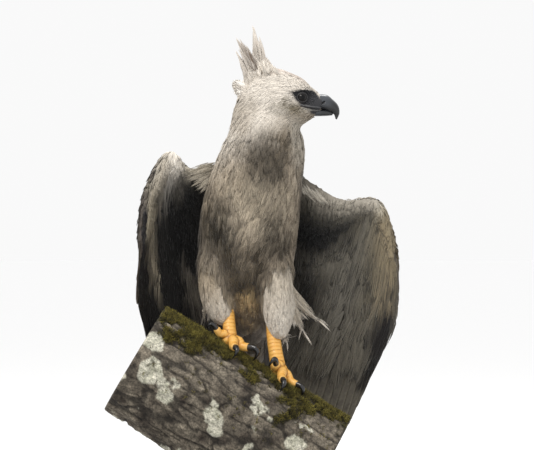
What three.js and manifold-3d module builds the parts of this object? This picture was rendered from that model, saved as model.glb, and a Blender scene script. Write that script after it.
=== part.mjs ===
// A young harpy eagle, life-size, standing on a cut length of sloping limb with its wings
// half open and drooping, on a display stand with two rods.
// Millimetres, +Z up. The bird faces -Y and turns its head to its own left, +X.
// The origin is the middle of the stand's underside. The bird's own sizes are measured
// from the level of its feet, and the whole bird is raised to FEET_LEVEL.
import * as THREE from "three";
import Module from "manifold-3d";

const wasm = await Module();
wasm.setup();

// Driving dimensions
const FEET_LEVEL = 410;
const GAP = 0.3;
const LIMB_RADIUS = 115;
const LIMB_START = -205;
const LIMB_END = 205;
const LIMB_SLOPE = THREE.MathUtils.degToRad(31);
const LIMB_TOP = { x: -5, z: -6.5 };
const STAND_WIDTH = 430;
const STAND_DEPTH = 400;
const STAND_THICK = 20;
const STAND_CORNER = 40;
const STAND_CENTRE_Y = 25;
const ROD_RADIUS = 9;
const ROD_SPREAD = 72;
const EYE_RADIUS = 10.5;
const PRIMARIES = 10;
const SECONDARIES = 15;
const TAIL_FEATHERS = 12;
const FEATHER_HALF_THICK = 1.4;
const EDGE_HALF_THICK = 1;
const COVERT_HALF_THICK = 2.2;
const ARM_HALF_THICK = 15;

// Small helpers for points and numbers
const point = (x, y, z) => new THREE.Vector3(x, y, z);
const UP = point(0, 0, 1);
const RIGHTWARD = point(1, 0, 0);
const TOWARD_VIEWER = point(0, -1, 0);
const between = (a, b, t) => a.clone().lerp(b, t);
const clamp = (x, low, high) => Math.min(Math.max(x, low), high);
const mix = (a, b, t) => a + (b - a) * t;
const smooth = (low, high, x) => THREE.MathUtils.smoothstep(x, low, high);

// Solids
function solidOf(positions, triangles) {
  const made = new wasm.Manifold(
    new wasm.Mesh({
      numProp: 3,
      vertProperties: new Float32Array(positions.flatMap((p) => [p.x, p.y, p.z])),
      triVerts: new Uint32Array(triangles.flat()),
    }),
  );
  return made.volume() < 0
    ? solidOf(positions, triangles.map(([a, b, c]) => [a, c, b]))
    : made;
}

function geometryOf(solid) {
  const mesh = solid.getMesh();
  return new THREE.BufferGeometry()
    .setAttribute("position", new THREE.BufferAttribute(mesh.vertProperties, 3))
    .setIndex(new THREE.BufferAttribute(mesh.triVerts, 1));
}

function solidOfGeometry(geometry) {
  const at = geometry.getAttribute("position");
  const keys = new Map();
  const positions = [];
  const renumbered = Array.from({ length: at.count }, (_, i) => {
    const p = point(at.getX(i), at.getY(i), at.getZ(i));
    const key = p.toArray().map((v) => Math.round(v * 1000)).join();
    if (!keys.has(key)) {
      keys.set(key, positions.length);
      positions.push(p);
    }
    return keys.get(key);
  });
  const order = geometry.index ? Array.from(geometry.index.array) : renumbered.map((_, i) => i);
  const triangles = [];
  for (let i = 0; i < order.length; i += 3) {
    const t = [0, 1, 2].map((k) => renumbered[order[i + k]]);
    if (new Set(t).size === 3) triangles.push(t);
  }
  return solidOf(positions, triangles);
}

const biggest = (solid) => solid.decompose().sort((a, b) => b.volume() - a.volume())[0];
const carve = (solid, ...cutters) => biggest(cutters.reduce((s, c) => s.subtract(c), solid));
const join = (...solids) => solids.reduce((a, b) => a.add(b));

// Catmull-Rom through rows of numbers, with t from 0 at the first row to 1 at the last
function rowAt(rows, t) {
  const last = rows.length - 1;
  const at = clamp(t * last, 0, last - 1e-6);
  const i = Math.floor(at);
  const f = at - i;
  const [a, b, c, d] = [-1, 0, 1, 2].map((k) => rows[clamp(i + k, 0, last)]);
  return b.map((_, k) => {
    const pull = (c[k] - a[k]) / 2;
    const next = (d[k] - b[k]) / 2;
    const rise = c[k] - b[k];
    return b[k] + f * (pull + f * (3 * rise - 2 * pull - next + f * (pull + next - 2 * rise)));
  });
}

// The triangles of a closed tube of rings of points, which its two end points follow
function tubeTriangles(rings, sides) {
  const triangles = [];
  const [first, last] = [(rings + 1) * sides, (rings + 1) * sides + 1];
  const next = (k) => (k + 1) % sides;
  for (let r = 0; r < rings; r++)
    for (let k = 0; k < sides; k++) {
      const a = r * sides + k;
      const b = r * sides + next(k);
      triangles.push([a, b, a + sides], [b, b + sides, a + sides]);
    }
  for (let k = 0; k < sides; k++) {
    triangles.push([first, next(k), k]);
    triangles.push([last, rings * sides + k, rings * sides + next(k)]);
  }
  return triangles;
}

// A closed tube through rows of [x, y, z, half width, half depth ahead, half depth behind].
// Its width lies along across, and ahead is the spine's direction crossed with that.
function loft(rows, shape = {}) {
  const { rings = 12, sides = 18, across = RIGHTWARD, grow = 0, round = 2, dome = 0.35 } = shape;
  const spine = Array.from({ length: rings + 1 }, (_, r) => rowAt(rows, r / rings));
  const centres = spine.map(([x, y, z]) => point(x, y, z));
  const positions = [];
  const power = (v) => Math.sign(v) * Math.abs(v) ** (2 / round);
  spine.forEach(([, , , wide, ahead, behind], r) => {
    const along = centres[Math.min(r + 1, rings)].clone().sub(centres[Math.max(r - 1, 0)]).normalize();
    const side = across.clone().addScaledVector(along, -along.dot(across)).normalize();
    const front = along.clone().cross(side);
    const end = r === 0 ? -grow : r === rings ? grow : 0;
    for (let k = 0; k < sides; k++) {
      const angle = (2 * Math.PI * k) / sides;
      const deep = Math.sin(angle) > 0 ? ahead : behind;
      positions.push(
        centres[r]
          .clone()
          .addScaledVector(along, end)
          .addScaledVector(side, (wide + grow) * power(Math.cos(angle)))
          .addScaledVector(front, (deep + grow) * power(Math.sin(angle))),
      );
    }
  });
  [0, rings].forEach((r) => {
    const out = centres[r].clone().sub(centres[r === 0 ? 1 : rings - 1]).normalize();
    const reach = dome * Math.min(spine[r][3], spine[r][4]) + grow;
    positions.push(centres[r].clone().addScaledVector(out, reach));
  });
  return solidOf(positions, tubeTriangles(rings, sides));
}

// A tapering round plume, horn or toe along a bent line through points, with radii to match
function plume(points, radii, { rings = 6, sides = 7, flat = 1, across = RIGHTWARD } = {}) {
  const rows = points.map((p, i) => [p.x, p.y, p.z, radii[i], radii[i] * flat, radii[i] * flat]);
  return loft(rows, { rings, sides, across, dome: 0.8 });
}

// -1 at the first of a run of places, 1 at the last and 0 between
const edgeOf = (i, last) => (i === last) - (i === 0);

// A closed sheet. place(s, t) is its middle surface, and edges(s) the first and last t of a column.
// lean keeps its normals steady where the two directions of the surface nearly run together.
function sheet(place, shape) {
  const { from, to, columns, rows, edges, halfThick } = shape;
  const { lean = point(0, 0, 0), lift = () => 0, power = 1, grow = 0 } = shape;
  const positions = [];
  const triangles = [];
  const step = 1e-3;
  const row = rows + 1;
  const sheetSize = (columns + 1) * row;
  for (const face of [1, -1])
    for (let i = 0; i <= columns; i++) {
      const s = mix(from, to, i / columns);
      const [first, last] = edges(s, i);
      for (let j = 0; j <= rows; j++) {
        const t = mix(first, last, (j / rows) ** power);
        const along = place(s, Math.min(t + step, 1)).sub(place(s, Math.max(t - step, 0))).normalize();
        const over = place(Math.min(s + step, 1), t).sub(place(Math.max(s - step, 0), t)).normalize();
        const normal = over.clone().cross(along).add(lean).normalize();
        positions.push(
          place(s, t)
            .addScaledVector(normal, lift(s, t, i) + face * (halfThick(s, t) + grow))
            .addScaledVector(along, grow * edgeOf(j, rows))
            .addScaledVector(over, grow * edgeOf(i, columns)),
        );
      }
    }
  for (let i = 0; i < columns; i++)
    for (let j = 0; j < rows; j++) {
      const a = i * row + j;
      const b = a + sheetSize;
      triangles.push([a, a + row, a + 1], [a + 1, a + row, a + row + 1]);
      triangles.push([b, b + 1, b + row], [b + 1, b + row + 1, b + row]);
    }
  const rim = [];
  for (let i = 0; i < columns; i++) rim.push([(i + 1) * row, i * row]);
  for (let j = 0; j < rows; j++) rim.push([j, j + 1]);
  for (let i = 0; i < columns; i++) rim.push([i * row + rows, (i + 1) * row + rows]);
  for (let j = rows; j > 0; j--) rim.push([columns * row + j, columns * row + j - 1]);
  rim.forEach(([a, b]) => triangles.push([a, b, a + sheetSize], [b, b + sheetSize, a + sheetSize]));
  return solidOf(positions, triangles);
}

// The limb: a slightly uneven log whose top runs under the feet
const LIMB_ALONG = point(Math.cos(LIMB_SLOPE), 0, -Math.sin(LIMB_SLOPE));
const LIMB_OUT = point(Math.sin(LIMB_SLOPE), 0, Math.cos(LIMB_SLOPE));
const LIMB_CENTRE = point(LIMB_TOP.x, 0, LIMB_TOP.z).addScaledVector(LIMB_OUT, -LIMB_RADIUS);

// The place at a distance along the limb, turned from its top toward the viewer, above its surface
function onLimb(along, turn, above = 0) {
  return LIMB_CENTRE.clone()
    .addScaledVector(LIMB_ALONG, along)
    .addScaledVector(LIMB_OUT, Math.cos(turn) * (LIMB_RADIUS + above))
    .addScaledVector(TOWARD_VIEWER, Math.sin(turn) * (LIMB_RADIUS + above));
}

function limb(grow = 0) {
  const rings = 8;
  const sides = 20;
  const positions = [];
  for (let r = 0; r <= rings; r++)
    for (let k = 0; k < sides; k++) {
      const turn = (2 * Math.PI * k) / sides;
      const underside = 1 - Math.max(Math.cos(turn), 0);
      const lobes = 4 * (1 + Math.sin(3 * turn + r * 0.7)) + 2 * Math.sin(5 * turn - r);
      const along = mix(LIMB_START - grow, LIMB_END + grow, r / rings);
      positions.push(onLimb(along, turn, grow - underside * lobes));
    }
  [LIMB_START - grow, LIMB_END + grow].forEach((along) =>
    positions.push(LIMB_CENTRE.clone().addScaledVector(LIMB_ALONG, along)),
  );
  return solidOf(positions, tubeTriangles(rings, sides));
}

// The body from the neck down to the root of the tail
const BODY = [
  [6, -12, 500, 35, 34, 34],
  [2, -12, 470, 56, 46, 46],
  [11, -12, 433, 69, 56, 58],
  [8, -8, 400, 77, 66, 66],
  [-2, -2, 360, 84, 78, 76],
  [-11, 6, 323, 90, 88, 84],
  [-20, 20, 266, 94, 95, 88],
  [-26, 40, 209, 93, 92, 84],
  [-28, 60, 160, 86, 82, 72],
  [-24, 80, 112, 68, 64, 54],
  [-18, 97, 72, 48, 42, 34],
  [-15, 112, 40, 34, 22, 20],
  [-13, 122, 15, 26, 12, 12],
];
const body = (grow = 0) => loft(BODY, { rings: 16, sides: 20, grow });
const NECK_CUT = { normal: point(0, 0.3, 1).normalize(), height: 348 };

// The head, from the nape to the forehead, facing +X: [.., half width, below, above]
const HEAD_Y = -14;
const HEAD = [
  [-35, HEAD_Y, 488, 22, 20, 20],
  [-19, HEAD_Y, 487, 39, 41, 36],
  [1, HEAD_Y, 490, 46, 56, 57],
  [25, HEAD_Y, 493, 48, 60, 61],
  [50, HEAD_Y, 492, 46, 56, 54],
  [74, HEAD_Y, 488, 40, 50, 48],
  [92, HEAD_Y, 487, 32, 33, 39],
  [107, HEAD_Y, 489, 23, 25, 26],
  [119, HEAD_Y, 492, 15, 16, 15],
];
const EYE_X = 78;
const EYE_Z = 496.7;
const EYE_OUT = 29.8;
const headSides = [
  ["right", -1],
  ["left", 1],
];
const eyeCentre = (side) => point(EYE_X, HEAD_Y + side * EYE_OUT, EYE_Z);
function ball(centre, radius, detail = 10) {
  const sphere = new THREE.SphereGeometry(radius, detail, Math.round(detail / 2));
  return solidOfGeometry(sphere.translate(centre.x, centre.y, centre.z));
}

const skull = (grow = 0) => loft(HEAD, { rings: 12, sides: 16, across: TOWARD_VIEWER, grow });
const NAPE = [point(-8, HEAD_Y, 496), point(-33, HEAD_Y, 513), point(-50, HEAD_Y, 529)];
const NAPE_RADII = [24, 13, 2.5];
const napeTuft = (grow = 0) => plume(NAPE, NAPE_RADII.map((r) => r + grow), { rings: 3, sides: 7 });

function headSolid() {
  const brows = headSides.map(([, side]) =>
    plume(
      [
        point(48, HEAD_Y + side * 37, 512),
        point(72, HEAD_Y + side * 36, 515),
        point(92, HEAD_Y + side * 29, 510),
        point(108, HEAD_Y + side * 18, 501),
      ],
      [5, 8.5, 7.5, 3],
      { rings: 4, sides: 5, across: UP, flat: 0.75 },
    ),
  );
  const sockets = headSides.map(([, side]) => ball(eyeCentre(side), EYE_RADIUS + GAP));
  return carve(join(skull(), ...brows, napeTuft()), ...sockets);
}

// The bill: cere and hooked upper half, and the lower half, from the gape forward
const BILL_UPPER = [
  [88, HEAD_Y, 486.5, 17, 5, 9],
  [103, HEAD_Y, 487.5, 17, 8, 14],
  [119, HEAD_Y, 487.5, 14.5, 12, 17],
  [132, HEAD_Y, 483.5, 11.5, 12, 12.5],
  [141.8, HEAD_Y, 477.5, 8, 11, 8.2],
  [146.6, HEAD_Y, 467.5, 4.5, 8, 3.6],
  [144.2, HEAD_Y, 456.5, 1.2, 1.5, 1.5],
];
const BILL_LOWER = [
  [84, HEAD_Y, 470.5, 14, 7, 4.5],
  [102, HEAD_Y, 469.5, 12, 7.5, 4.5],
  [118, HEAD_Y, 468.5, 9, 6, 4.5],
  [129, HEAD_Y, 468.5, 7, 5, 3],
  [136, HEAD_Y, 466.5, 3.5, 2.5, 1.5],
];

const billUpper = (grow = 0) =>
  loft(BILL_UPPER, { rings: 12, sides: 12, across: TOWARD_VIEWER, round: 2.1, grow });
const billLower = (grow = 0) => loft(BILL_LOWER, { rings: 7, sides: 10, across: TOWARD_VIEWER, grow });

// A crest tuft of long feathers, flat and ragged, from its root to its tips
function crest(root, tips, wide) {
  const blades = tips.map((tip, i) =>
    plume(
      [root, between(root, tip, 0.45).add(point(-2, 0, 1)), tip],
      [wide, wide * (0.8 - 0.1 * i), 1.2],
      { rings: 4, sides: 6, across: TOWARD_VIEWER.clone().add(point(0.3, 0, 0)), flat: 1.7 },
    ),
  );
  return join(...blades);
}

// Wings. Each holds the line that its flight feathers grow from, the front edge before it, and
// the feathers' tips, six points each: beside the back, elbow, mid arm, wrist, mid hand, finger.
const WRIST_AT = 0.6;
const WINGS = {
  left: {
    roots: [point(14, 116, 222), point(76, 118, 168), point(146, 66, 228), point(214, 14, 278),
      point(242, 30, 220), point(262, 52, 160)],
    fronts: [point(22, 60, 378), point(84, 32, 351), point(154, 6, 309), point(221, -8, 306),
      point(247, 10, 260), point(255, 34, 192)],
    tips: [point(-6, 176, 58), point(16, 196, -6), point(40, 212, -72), point(78, 224, -132),
      point(146, 224, -172), point(226, 150, -24)],
    outward: point(1, 0.1, 0.1),
    dorsal: point(0.35, 0.9, 0.25).normalize(),
    camber: 16,
    sweep: 14,
  },
  right: {
    roots: [point(-62, 118, 224), point(-118, 132, 190), point(-150, 76, 270), point(-182, 18, 346),
      point(-212, 38, 278), point(-228, 54, 206)],
    fronts: [point(-40, 46, 388), point(-98, 42, 374), point(-136, 18, 371), point(-166, -8, 401),
      point(-211, 8, 334), point(-224, 34, 246)],
    tips: [point(-34, 178, 60), point(-66, 202, 0), point(-96, 226, -62), point(-130, 244, -118),
      point(-178, 236, -142), point(-204, 150, -4)],
    outward: point(-0.7, 0, 0.1),
    dorsal: point(-0.9, 0.35, 0.2).normalize(),
    camber: 20,
    sweep: 14,
  },
};

// The wing's middle surface: s runs out along the wing and t from the front edge to the tips
function wingSurface(wing) {
  const curves = [wing.fronts, wing.roots, wing.tips].map((points) => new THREE.CatmullRomCurve3(points));
  return (s, t) => {
    const [front, root, tip] = curves.map((curve) => curve.getPoint(s));
    const hand = smooth(WRIST_AT, 1, s);
    const middle = between(root, tip, 0.5)
      .addScaledVector(wing.dorsal, wing.camber * (1 - 0.4 * hand))
      .addScaledVector(wing.outward, wing.sweep * (0.3 + 0.7 * hand));
    return new THREE.CatmullRomCurve3([front, root, middle, tip]).getPoint(t);
  };
}

// How far down the wing the coverts reach, and the clearance from there to the flight feathers
const covertEnd = (s) => mix(0.6, 0.5, smooth(WRIST_AT - 0.1, 1, s));
const BUTT = 0.0016;

function armSolid(surface, { from, to, columns, lean, grow = 0 }) {
  return sheet(surface, {
    from,
    to,
    columns,
    lean,
    rows: 6,
    power: 1.5,
    grow,
    edges: (s) => [0, covertEnd(s)],
    halfThick: (s, t) => {
      const down = t / covertEnd(s);
      const fullness = Math.sqrt(Math.min(down / 0.22, 1)) * (1 - smooth(0.2, 1, down));
      const arm = ARM_HALF_THICK * mix(1, 0.75, smooth(WRIST_AT, 1, s)) * fullness;
      return EDGE_HALF_THICK + COVERT_HALF_THICK * Math.min(down / 0.05, 1) + arm;
    },
  });
}

// Flight feathers as one ribbed sheet with a tip to each feather
function featherSheet(surface, { from, to, feathers, rows, notch, turned, lean, grow = 0 }) {
  const atNotch = (i) => i % 2 === 0;
  return sheet(surface, {
    from,
    to,
    columns: feathers * 2,
    lean,
    rows,
    edges: (s, i) => [covertEnd(s) + BUTT, atNotch(i) ? 1 - notch : 1],
    halfThick: () => FEATHER_HALF_THICK,
    grow,
    lift: (s, t, i) => (atNotch(i) ? -0.5 : 0.5) * turned,
  });
}

// The tail: a narrow fan hanging behind the limb
const TAIL_ROOT = point(-13, 121, 34);
const TAIL_DROP = point(0.03, 0.36, -0.93).normalize();
const TAIL_LENGTH = 365;
const TAIL_ROOT_HALF = 24;
const TAIL_END_HALF = 66;
function tailSurface(s, t) {
  const across = (s - 0.5) * 2;
  const half = mix(TAIL_ROOT_HALF, TAIL_END_HALF, Math.sqrt(t));
  const bulge = 16 * (1 - across * across) * smooth(0, 0.5, t) + 8 * Math.sin(Math.PI * t);
  const length = TAIL_LENGTH * (1 - 0.06 * across * across);
  return TAIL_ROOT.clone()
    .addScaledVector(RIGHTWARD, across * half)
    .addScaledVector(TAIL_DROP, t * length)
    .addScaledVector(point(0, 0.93, 0.36), bulge);
}

// Legs: feathered thighs, bare shanks, feet with four toes, and their claws
const LEGS = {
  right: {
    thigh: [
      [-66, 28, 240, 34, 46, 42],
      [-83, 22, 190, 37, 56, 50],
      [-87, 18, 150, 34, 54, 48],
      [-84, 12, 112, 31, 43, 38],
      [-72, 3, 86, 25, 31, 27],
      [-62, -4, 72, 14, 17, 16],
    ],
    wisps: [[point(-96, 30, 120), point(-106, 42, 96), point(-110, 50, 76)]],
    shank: [
      [-66, 16, 120, 11, 11, 11],
      [-61, 4, 90, 12, 13, 13],
      [-58.5, -6, 62, 12.5, 13.5, 13.5],
      [-57, -12, 40, 14, 15, 15],
    ],
    along: -68,
  },
  left: {
    thigh: [
      [22, 24, 235, 32, 46, 42],
      [29, 12, 185, 32, 54, 50],
      [33, 5, 138, 31, 50, 46],
      [35, 0, 94, 33, 42, 40],
      [36, -4, 62, 25, 30, 28],
      [38, -7, 40, 13, 15, 15],
    ],
    wisps: [
      [point(52, 14, 122), point(84, 22, 98), point(115, 30, 72)],
      [point(50, 16, 100), point(68, 26, 76), point(83, 32, 53)],
      [point(40, 6, 62), point(48, 10, 46), point(50, 12, 34)],
    ],
    shank: [
      [22, 16, 84, 11, 11, 11],
      [25, 4, 48, 13, 13, 13],
      [29, -6, 16, 13.5, 13.5, 13.5],
      [34, -12, -12, 14.5, 15, 15],
    ],
    along: 41,
  },
};

// Toes run over the limb: reach along it toward the other foot, turn to the viewer, and
// lift of the tip above it
const FOOT_TURN = 0.1;
const TOES = {
  right: {
    inner: { reach: 36, turn: 0.12, lift: 12, thick: 9.5, claw: 40 },
    middle: { reach: 15, turn: 0.3, lift: 8, thick: 9, claw: 32 },
    outer: { reach: -33, turn: 0.1, lift: 12, thick: 8, claw: 28 },
    hind: { reach: 6, turn: -0.5, lift: 0, thick: 10, claw: 58 },
  },
  left: {
    inner: { reach: 12, turn: 0.16, lift: 14, thick: 9.5, claw: 36 },
    middle: { reach: -14, turn: 0.34, lift: 4, thick: 9, claw: 34 },
    outer: { reach: -41, turn: 0.16, lift: 2, thick: 8, claw: 32 },
    hind: { reach: 6, turn: -0.5, lift: 0, thick: 10, claw: 58 },
  },
};

// The toe's joints: [share of its length, height of its arch]
const TOE_JOINTS = [
  [0, 0],
  [0.36, 7],
  [0.7, 0],
  [1, 1.5],
];

function toePath(leg, toe, inward) {
  const reach = leg.along + inward * toe.reach;
  return TOE_JOINTS.map(([t, arch]) =>
    onLimb(mix(leg.along, reach, t), FOOT_TURN + toe.turn * t, toe.thick * 0.8 + arch + toe.lift * t),
  );
}

function footSolid(leg, toesOfFoot, inward, limbCutter) {
  const pad = ball(onLimb(leg.along, FOOT_TURN, 12), 17, 8);
  const across = LIMB_ALONG.clone().add(point(0, 0.2, 0));
  const toes = Object.values(toesOfFoot).map((toe) => {
    const radii = [1.15, 1.05, 0.92, 0.82].map((share) => share * toe.thick);
    return plume(toePath(leg, toe, inward), radii, { rings: 4, sides: 6, across });
  });
  return carve(join(pad, ...toes), limbCutter);
}

function clawSolid(leg, toe, inward, limbCutter, footCutter) {
  const path = toePath(leg, toe, inward);
  const tip = path[3];
  const ahead = tip.clone().sub(path[2]).normalize();
  const turn = FOOT_TURN + toe.turn;
  const down = onLimb(0, turn, 0).sub(onLimb(0, turn, 1)).normalize();
  const bend = [0, 0.3, 0.62, 1].map((t) =>
    tip
      .clone()
      .addScaledVector(ahead, toe.claw * 0.72 * Math.sin(t * 1.9) - 2)
      .addScaledVector(down, toe.claw * 0.62 * t * t - toe.claw * 0.1 * Math.sin(Math.PI * t)),
  );
  const radii = [toe.thick * 0.62, toe.thick * 0.6, toe.thick * 0.42, 0.8];
  return carve(plume(bend, radii, { rings: 4, sides: 6 }), limbCutter, footCutter);
}

// Materials
const finish = (color, roughness = 0.8, metalness = 0) =>
  new THREE.MeshStandardMaterial({ color, roughness, metalness });
const plumage = finish(0xb5aca0);
const paleDown = finish(0xd9d2c6);
const underwing = finish(0x8f8b84);
const flight = finish(0x6a6662);
const horn = finish(0x2f3235, 0.4);
const yellowSkin = finish(0xe2a63a, 0.6);
const eyeBlack = finish(0x16120f, 0.1);
const bark = finish(0x6b6152, 0.95);
const board = finish(0x2b2622, 0.45);
const steel = finish(0x9a9da0, 0.35, 1);

const bird = new THREE.Group();
bird.position.set(0, -STAND_CENTRE_Y, FEET_LEVEL);
function add(name, solid, material) {
  const mesh = new THREE.Mesh(geometryOf(biggest(solid)), material);
  mesh.name = name;
  bird.add(mesh);
}

// Trunk, neck and head
const whole = body();
const wholeCutter = body(GAP);
const WISP_RADII = [15, 8, 1];
const thighSolids = Object.fromEntries(
  Object.entries(LEGS).map(([side, leg]) => [
    side,
    (grow) =>
      join(
        loft(leg.thigh, { rings: 8, sides: 14, grow }),
        ...leg.wisps.map((line) => plume(line, WISP_RADII.map((r) => r + grow), { rings: 3, sides: 6 })),
      ),
  ]),
);
const head = headSolid();
const headCutter = join(skull(GAP), napeTuft(GAP));
const billCutters = [billUpper(GAP), billLower(GAP)];
const upward = NECK_CUT.normal;
const downward = upward.clone().negate();
const neck = whole.trimByPlane(upward.toArray(), NECK_CUT.height + GAP / 2);
add("trunk", whole.trimByPlane(downward.toArray(), GAP / 2 - NECK_CUT.height), plumage);
add("neck", carve(neck, headCutter), paleDown);
add("head", carve(head, ...billCutters), paleDown);
add("bill_upper", billUpper(), horn);
add("bill_lower", carve(billLower(), billCutters[0]), horn);
headSides.forEach(([name, side]) =>
  add("eye_" + name, carve(ball(eyeCentre(side), EYE_RADIUS), ...billCutters), eyeBlack),
);
const CRESTS = {
  crest_left: [
    point(10, HEAD_Y + 14, 536),
    [point(-16, HEAD_Y + 18, 639), point(-5, HEAD_Y + 22, 612)],
    9,
  ],
  crest_right: [
    point(-7, HEAD_Y - 12, 528),
    [point(-43, HEAD_Y - 16, 610), point(-44, HEAD_Y - 22, 584), point(-25, HEAD_Y - 20, 604)],
    11,
  ],
};
Object.entries(CRESTS).forEach(([name, [root, tips, wide]]) =>
  add(name, carve(crest(root, tips, wide), headCutter), paleDown),
);

// Legs and feet
const limbCutter = limb(GAP);
Object.entries(LEGS).forEach(([side, leg]) => {
  const inward = side === "right" ? 1 : -1;
  const foot = footSolid(leg, TOES[side], inward, limbCutter);
  const footCutter = foot.warp((v) => {
    const middle = onLimb(leg.along, FOOT_TURN, 12);
    [middle.x, middle.y, middle.z].forEach((m, k) => (v[k] += (v[k] - m) * 0.012));
  });
  const thigh = carve(thighSolids[side](0), wholeCutter);
  const shankCutters = [thighSolids[side](GAP), wholeCutter, limbCutter];
  const shank = carve(loft(leg.shank, { rings: 5, sides: 12 }), ...shankCutters);
  add("thigh_" + side, thigh, paleDown);
  add("shank_" + side, shank, yellowSkin);
  add("foot_" + side, carve(foot, loft(leg.shank, { rings: 5, sides: 12, grow: GAP })), yellowSkin);
  Object.entries(TOES[side]).forEach(([name, toe]) =>
    add(`claw_${side}_${name}`, clawSolid(leg, toe, inward, limbCutter, footCutter), horn),
  );
});

// Wings
Object.entries(WINGS).forEach(([side, wing]) => {
  const surface = wingSurface(wing);
  const cutters = [wholeCutter, thighSolids[side](GAP)];
  const turned = side === "left" ? 1 : -1;
  const lean = wing.dorsal.clone().multiplyScalar(turned * 0.4);
  const armSpan = { from: 0, to: WRIST_AT - BUTT, columns: 11, lean };
  const handSpan = { from: WRIST_AT, to: 1, columns: 7, lean };
  const secondarySpan = { ...armSpan, feathers: SECONDARIES, rows: 2, notch: 0.04, turned };
  const primarySpan = { ...handSpan, feathers: PRIMARIES, rows: 3, notch: 0.07, turned };
  const armCutter = armSolid(surface, { ...armSpan, grow: GAP });
  const handCutter = armSolid(surface, { ...handSpan, grow: GAP });
  add(`wing_${side}_arm`, carve(armSolid(surface, armSpan), ...cutters), plumage);
  add(`wing_${side}_hand`, carve(armSolid(surface, handSpan), ...cutters, armCutter), plumage);
  cutters.push(armCutter, handCutter);
  add(`wing_${side}_secondaries`, carve(featherSheet(surface, secondarySpan), ...cutters), underwing);
  cutters.push(featherSheet(surface, { ...secondarySpan, grow: GAP }));
  add(`wing_${side}_primaries`, carve(featherSheet(surface, primarySpan), ...cutters), flight);
});

// Tail
const tail = sheet(tailSurface, {
  from: 0,
  to: 1,
  columns: TAIL_FEATHERS * 2,
  rows: 3,
  edges: (s, i) => [0, i % 2 === 0 ? 0.97 : 1],
  halfThick: (s, t) => mix(5, 1.8, smooth(0, 0.25, t)),
});
add("tail", carve(tail, wholeCutter), flight);

// Perch and stand
add("perch_limb", limb(), bark);
const baseTop = STAND_THICK - FEET_LEVEL;
const [halfWide, halfDeep] = [STAND_WIDTH / 2, STAND_DEPTH / 2];
const plate = new THREE.Shape();
[
  [halfWide - STAND_CORNER, halfDeep - STAND_CORNER, 0],
  [STAND_CORNER - halfWide, halfDeep - STAND_CORNER, 1],
  [STAND_CORNER - halfWide, STAND_CORNER - halfDeep, 2],
  [halfWide - STAND_CORNER, STAND_CORNER - halfDeep, 3],
].forEach(([x, y, quarter]) => {
  const start = (quarter * Math.PI) / 2;
  plate.absarc(x, y, STAND_CORNER, start, start + Math.PI / 2);
});
const plateShape = { depth: STAND_THICK, bevelEnabled: false, curveSegments: 5 };
const base = new THREE.ExtrudeGeometry(plate, plateShape).translate(0, STAND_CENTRE_Y, -FEET_LEVEL);
add("stand_base", solidOfGeometry(base), board);
[-ROD_SPREAD, ROD_SPREAD].forEach((x, i) => {
  const top = LIMB_CENTRE.z - (x - LIMB_CENTRE.x) * Math.tan(LIMB_SLOPE);
  const low = baseTop + GAP;
  const rod = new THREE.CylinderGeometry(ROD_RADIUS, ROD_RADIUS, top - low, 20)
    .rotateX(Math.PI / 2)
    .translate(x, 0, (top + low) / 2);
  add("stand_rod_" + (i + 1), carve(solidOfGeometry(rod), limbCutter), steel);
});

const model = new THREE.Group();
model.add(bird);
export default model;
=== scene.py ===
"""The looks of a young harpy eagle on its cut limb and stand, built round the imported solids.

Everything is in metres, in the frame of the solids. Places on the bird are written in its own
millimetres, measured from the level of its feet, and bird() turns them into that frame.
"""
import itertools

import bmesh
import bpy
import numpy as np
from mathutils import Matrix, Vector
from mathutils.bvhtree import BVHTree
from mathutils.kdtree import KDTree


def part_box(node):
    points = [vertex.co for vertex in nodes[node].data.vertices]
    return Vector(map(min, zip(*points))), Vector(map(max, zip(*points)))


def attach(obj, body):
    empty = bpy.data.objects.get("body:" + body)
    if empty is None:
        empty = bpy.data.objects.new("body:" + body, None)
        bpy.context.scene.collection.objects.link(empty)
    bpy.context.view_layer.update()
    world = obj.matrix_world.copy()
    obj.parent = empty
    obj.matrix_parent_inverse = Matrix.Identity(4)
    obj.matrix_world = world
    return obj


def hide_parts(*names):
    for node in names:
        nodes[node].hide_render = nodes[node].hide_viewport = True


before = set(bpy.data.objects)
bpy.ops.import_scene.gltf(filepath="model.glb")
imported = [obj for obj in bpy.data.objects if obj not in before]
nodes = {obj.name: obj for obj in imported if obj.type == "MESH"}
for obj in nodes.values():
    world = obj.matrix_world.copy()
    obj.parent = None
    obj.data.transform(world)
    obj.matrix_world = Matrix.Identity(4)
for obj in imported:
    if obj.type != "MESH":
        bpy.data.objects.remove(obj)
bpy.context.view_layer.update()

MM = 0.001
FEET = np.array([0.0, -0.025, 0.410])
BAKE_MAP = "OFBake"
VANE_MAP = "Vane"
PLUMAGE = "Plumage"
# How wide a feather's patch of the bake map is, and the most triangles of one joined piece
PATCH = 0.003
MOST_TRIANGLES = 190_000
DENSITY = 1.0


# Numbers and vectors
def bird(*place):
    """A place in the row frame from millimetres in the bird's own frame."""
    return FEET + MM * np.array(place, float)


def in_bird(points):
    """Row-frame points as millimetres in the bird's own frame."""
    return (points - FEET) / MM


def smooth(low, high, x):
    t = np.clip((x - low) / (high - low), 0, 1)
    return t * t * (3 - 2 * t)


def mix(a, b, t):
    return a + (b - a) * t


def blend(a, b, weight):
    """Colours or vectors mixed by one weight for each of them."""
    return a + (b - a) * np.asarray(weight)[..., None]


def unit(v):
    return v / np.maximum(np.linalg.norm(v, axis=-1, keepdims=True), 1e-12)


def tone(red, green, blue):
    """A linear colour from the usual 0 to 255 numbers."""
    c = np.array([red, green, blue], float) / 255
    return np.where(c <= 0.04045, c / 12.92, ((c + 0.055) / 1.055) ** 2.4)


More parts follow.
